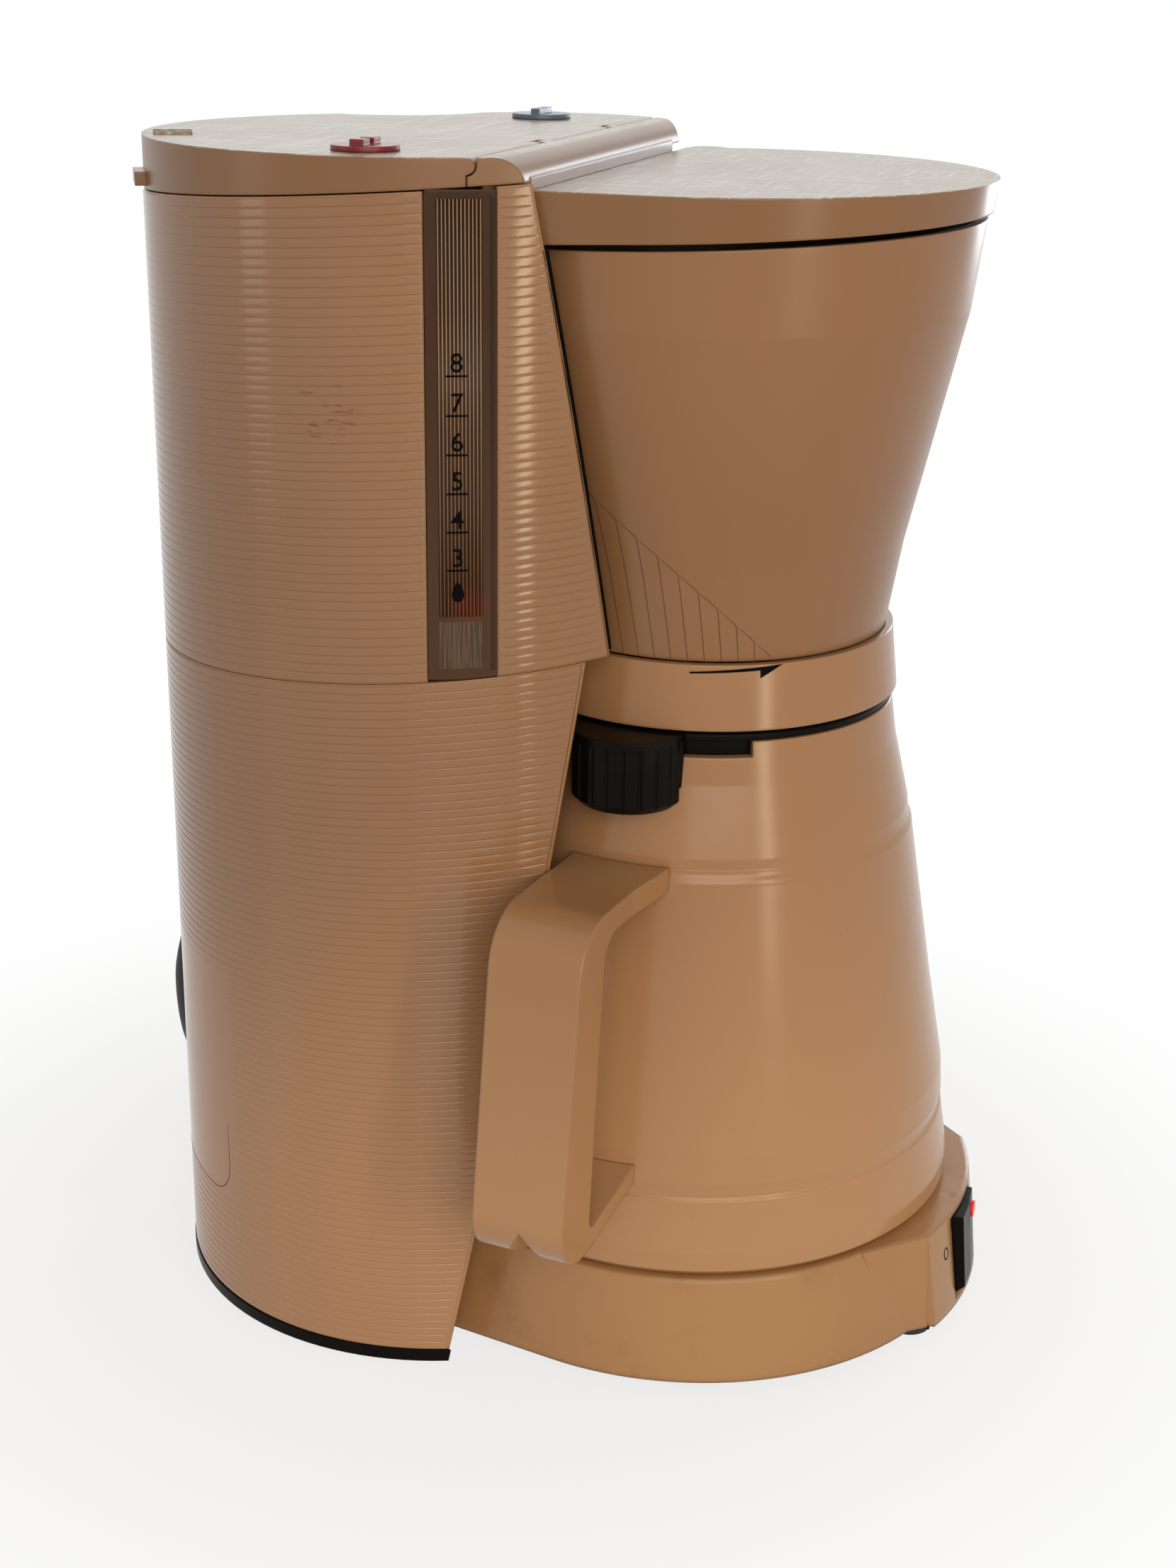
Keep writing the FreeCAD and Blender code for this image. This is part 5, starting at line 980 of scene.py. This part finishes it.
# Cord: the part's own route, then its coil
CORD_RADIUS = 3.25
CORD_ROUTE = (
    (-33.0, 143.4, 114.0),
    (-30.0, 154.0, 90.0),
    (-21.0, 159.5, 66.0),
    (-5.0, 165.0, 43.0),
    (18.0, 169.0, 22.0),
    (43.0, 171.0, 8.5),
    (67.0, 169.5, 4.6),
    (84.0, 167.8, 4.6),
)
COIL_MIDDLE = (104.0, 128.0)
COIL_RADIUS = 39.2
COIL_TURNS = 3.25
COIL_STEP = 7.1
COIL_REST = 4.6
COIL_TAIL = 30.0
COIL_POINTS = 16


def coil_points():
    """Loops that wind in on the counter, climb over half a turn and wind out above."""
    turn = np.arange(round(COIL_TURNS * COIL_POINTS) + 1) / COIL_POINTS
    inward = np.minimum(turn, COIL_TURNS - turn)
    climb = np.clip((turn - COIL_TURNS / 2 + 0.25) / 0.5, 0, 1)
    angle = np.pi / 2 - 2 * np.pi * turn
    chord_share = 1 / math.cos(math.pi / COIL_POINTS * 0.8)
    radius = (COIL_RADIUS - COIL_STEP * inward) * chord_share
    return np.stack([COIL_MIDDLE[0] + radius * np.cos(angle), COIL_MIDDLE[1] + radius * np.sin(angle),
                     COIL_REST + COIL_STEP * climb ** 2 * (3 - 2 * climb)], axis=1)


def make_cord():
    """The cord as one NURBS curve through the route and the coil, to the plug's end."""
    loops = coil_points()
    end = (COIL_MIDDLE[0] + COIL_RADIUS, COIL_MIDDLE[1] - COIL_TAIL, COIL_REST + COIL_STEP)
    points = np.vstack([CORD_ROUTE, loops[1:], [end]]) * MM
    curve = bpy.data.curves.new("mains_cord", "CURVE")
    curve.dimensions = "3D"
    curve.bevel_depth = CORD_RADIUS * MM
    curve.bevel_resolution = 5
    curve.use_fill_caps = True
    spline = curve.splines.new("NURBS")
    spline.points.add(len(points) - 1)
    spline.points.foreach_set("co", np.hstack([points, np.ones((len(points), 1))]).ravel())
    spline.order_u = 3
    spline.use_endpoint_u = True
    spline.resolution_u = 6
    curve.materials.append(RUBBER)
    cord = bpy.data.objects.new("mains_cord", curve)
    scene.collection.objects.link(cord)
    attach(cord, "machine")
    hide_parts("cord_run", "cord_coil")


make_cord()


# Light and floor
AIM = Vector((0.0, 0.05, 0.17))
WARM = (1.0, 0.93, 0.84)
COOL = (0.84, 0.92, 1.0)
AMBER = (1.0, 0.84, 0.6)
PALE = (0.96, 1.0, 0.96)
ROOM = (1.0, 0.94, 0.87, 1.0)
WHITE = (1.0, 1.0, 1.0, 1.0)
ROOM_STRENGTH = 0.42
FLOOR_HALF = 6000.0
FLOOR_COLOUR = (0.6, 0.58, 0.55, 1.0)
SHADOW_MIDDLE = (0.0, 0.06, 0.0)


def area_light(name, heading, distance, height, size, power, colour):
    """A panel at a heading from the object, in degrees, that faces its middle."""
    data = bpy.data.lights.new(name, "AREA")
    data.shape = "RECTANGLE"
    data.size, data.size_y = size
    data.energy = power
    data.color = colour
    lamp = bpy.data.objects.new(name, data)
    turn = math.radians(heading)
    lamp.location = AIM + Vector((distance * math.cos(turn), distance * math.sin(turn), height - AIM.z))
    lamp.rotation_euler = (AIM - lamp.location).to_track_quat("-Z", "Y").to_euler()
    lamp.visible_camera = False
    scene.collection.objects.link(lamp)


def seen_rays(tree):
    """1 for the rays that show the background: straight, mirrored or through a clear piece."""
    rays = tree.nodes.new("ShaderNodeLightPath")
    total = rays.outputs["Is Camera Ray"]
    for kind in ("Is Glossy Ray", "Is Transmission Ray"):
        larger = tree.nodes.new("ShaderNodeMath")
        larger.operation = "MAXIMUM"
        tree.links.new(total, larger.inputs[0])
        tree.links.new(rays.outputs[kind], larger.inputs[1])
        total = larger.outputs[0]
    return total


def make_floor():
    """A pale floor that turns white away from the object and keeps its shadow."""
    size = FLOOR_HALF
    flat = np.array([[[-size, -size, 0.0], [size, -size, 0.0]], [[-size, size, 0.0], [size, size, 0.0]]])
    floor = bpy.data.objects.new("floor", grid_mesh("floor", flat, smooth=False))
    finish = Finish("pale_floor")
    finish.set(Base_Color=FLOOR_COLOUR, Roughness=0.9)
    white = finish.node("ShaderNodeEmission", {}, {"Color": WHITE, "Strength": 1.0})
    away = finish.node("ShaderNodeVectorMath", {"operation": "DISTANCE"},
                       [finish.place, SHADOW_MIDDLE], "Value")
    seen = Socket(finish, seen_rays(finish.tree))
    factor = seen * (0.78 + 0.22 * away.step(0.1, 0.31))
    plain = Socket(finish, finish.shader.outputs[0])
    both = finish.node("ShaderNodeMixShader", {}, [factor, plain, white])
    finish.tree.links.new(both.output, finish.tree.nodes["Material Output"].inputs["Surface"])
    floor.data.materials.append(finish.material)
    scene.collection.objects.link(floor)


def make_world():
    """A warm, even room that lights the object, and shows as white."""
    world = bpy.data.worlds.new("soft_room")
    scene.world = world
    world.use_nodes = True
    tree = world.node_tree
    background = tree.nodes["Background"]
    white = tree.nodes.new("ShaderNodeBackground")
    white.inputs["Color"].default_value = WHITE
    background.inputs["Color"].default_value = ROOM
    background.inputs["Strength"].default_value = ROOM_STRENGTH
    both = tree.nodes.new("ShaderNodeMixShader")
    tree.links.new(seen_rays(tree), both.inputs[0])
    tree.links.new(background.outputs[0], both.inputs[1])
    tree.links.new(white.outputs[0], both.inputs[2])
    tree.links.new(both.outputs[0], tree.nodes["World Output"].inputs["Surface"])


make_world()
make_floor()
area_light("soft_key", 206.0, 1.7, 0.85, (1.1, 1.1), 14.0, WARM)
area_light("near_strip", 231.9, 0.763, 0.28, (0.07, 0.44), 1.05, AMBER)
area_light("left_strip", 129.0, 1.3, 0.5, (0.25, 0.9), 1.1, WARM)
area_light("far_window", 340.0, 1.3, 0.35, (0.22, 0.5), 4.0, COOL)
area_light("back_panel", 17.5, 1.8, 0.95, (1.6, 0.9), 2.6, PALE)
scene.view_settings.view_transform = "Standard"
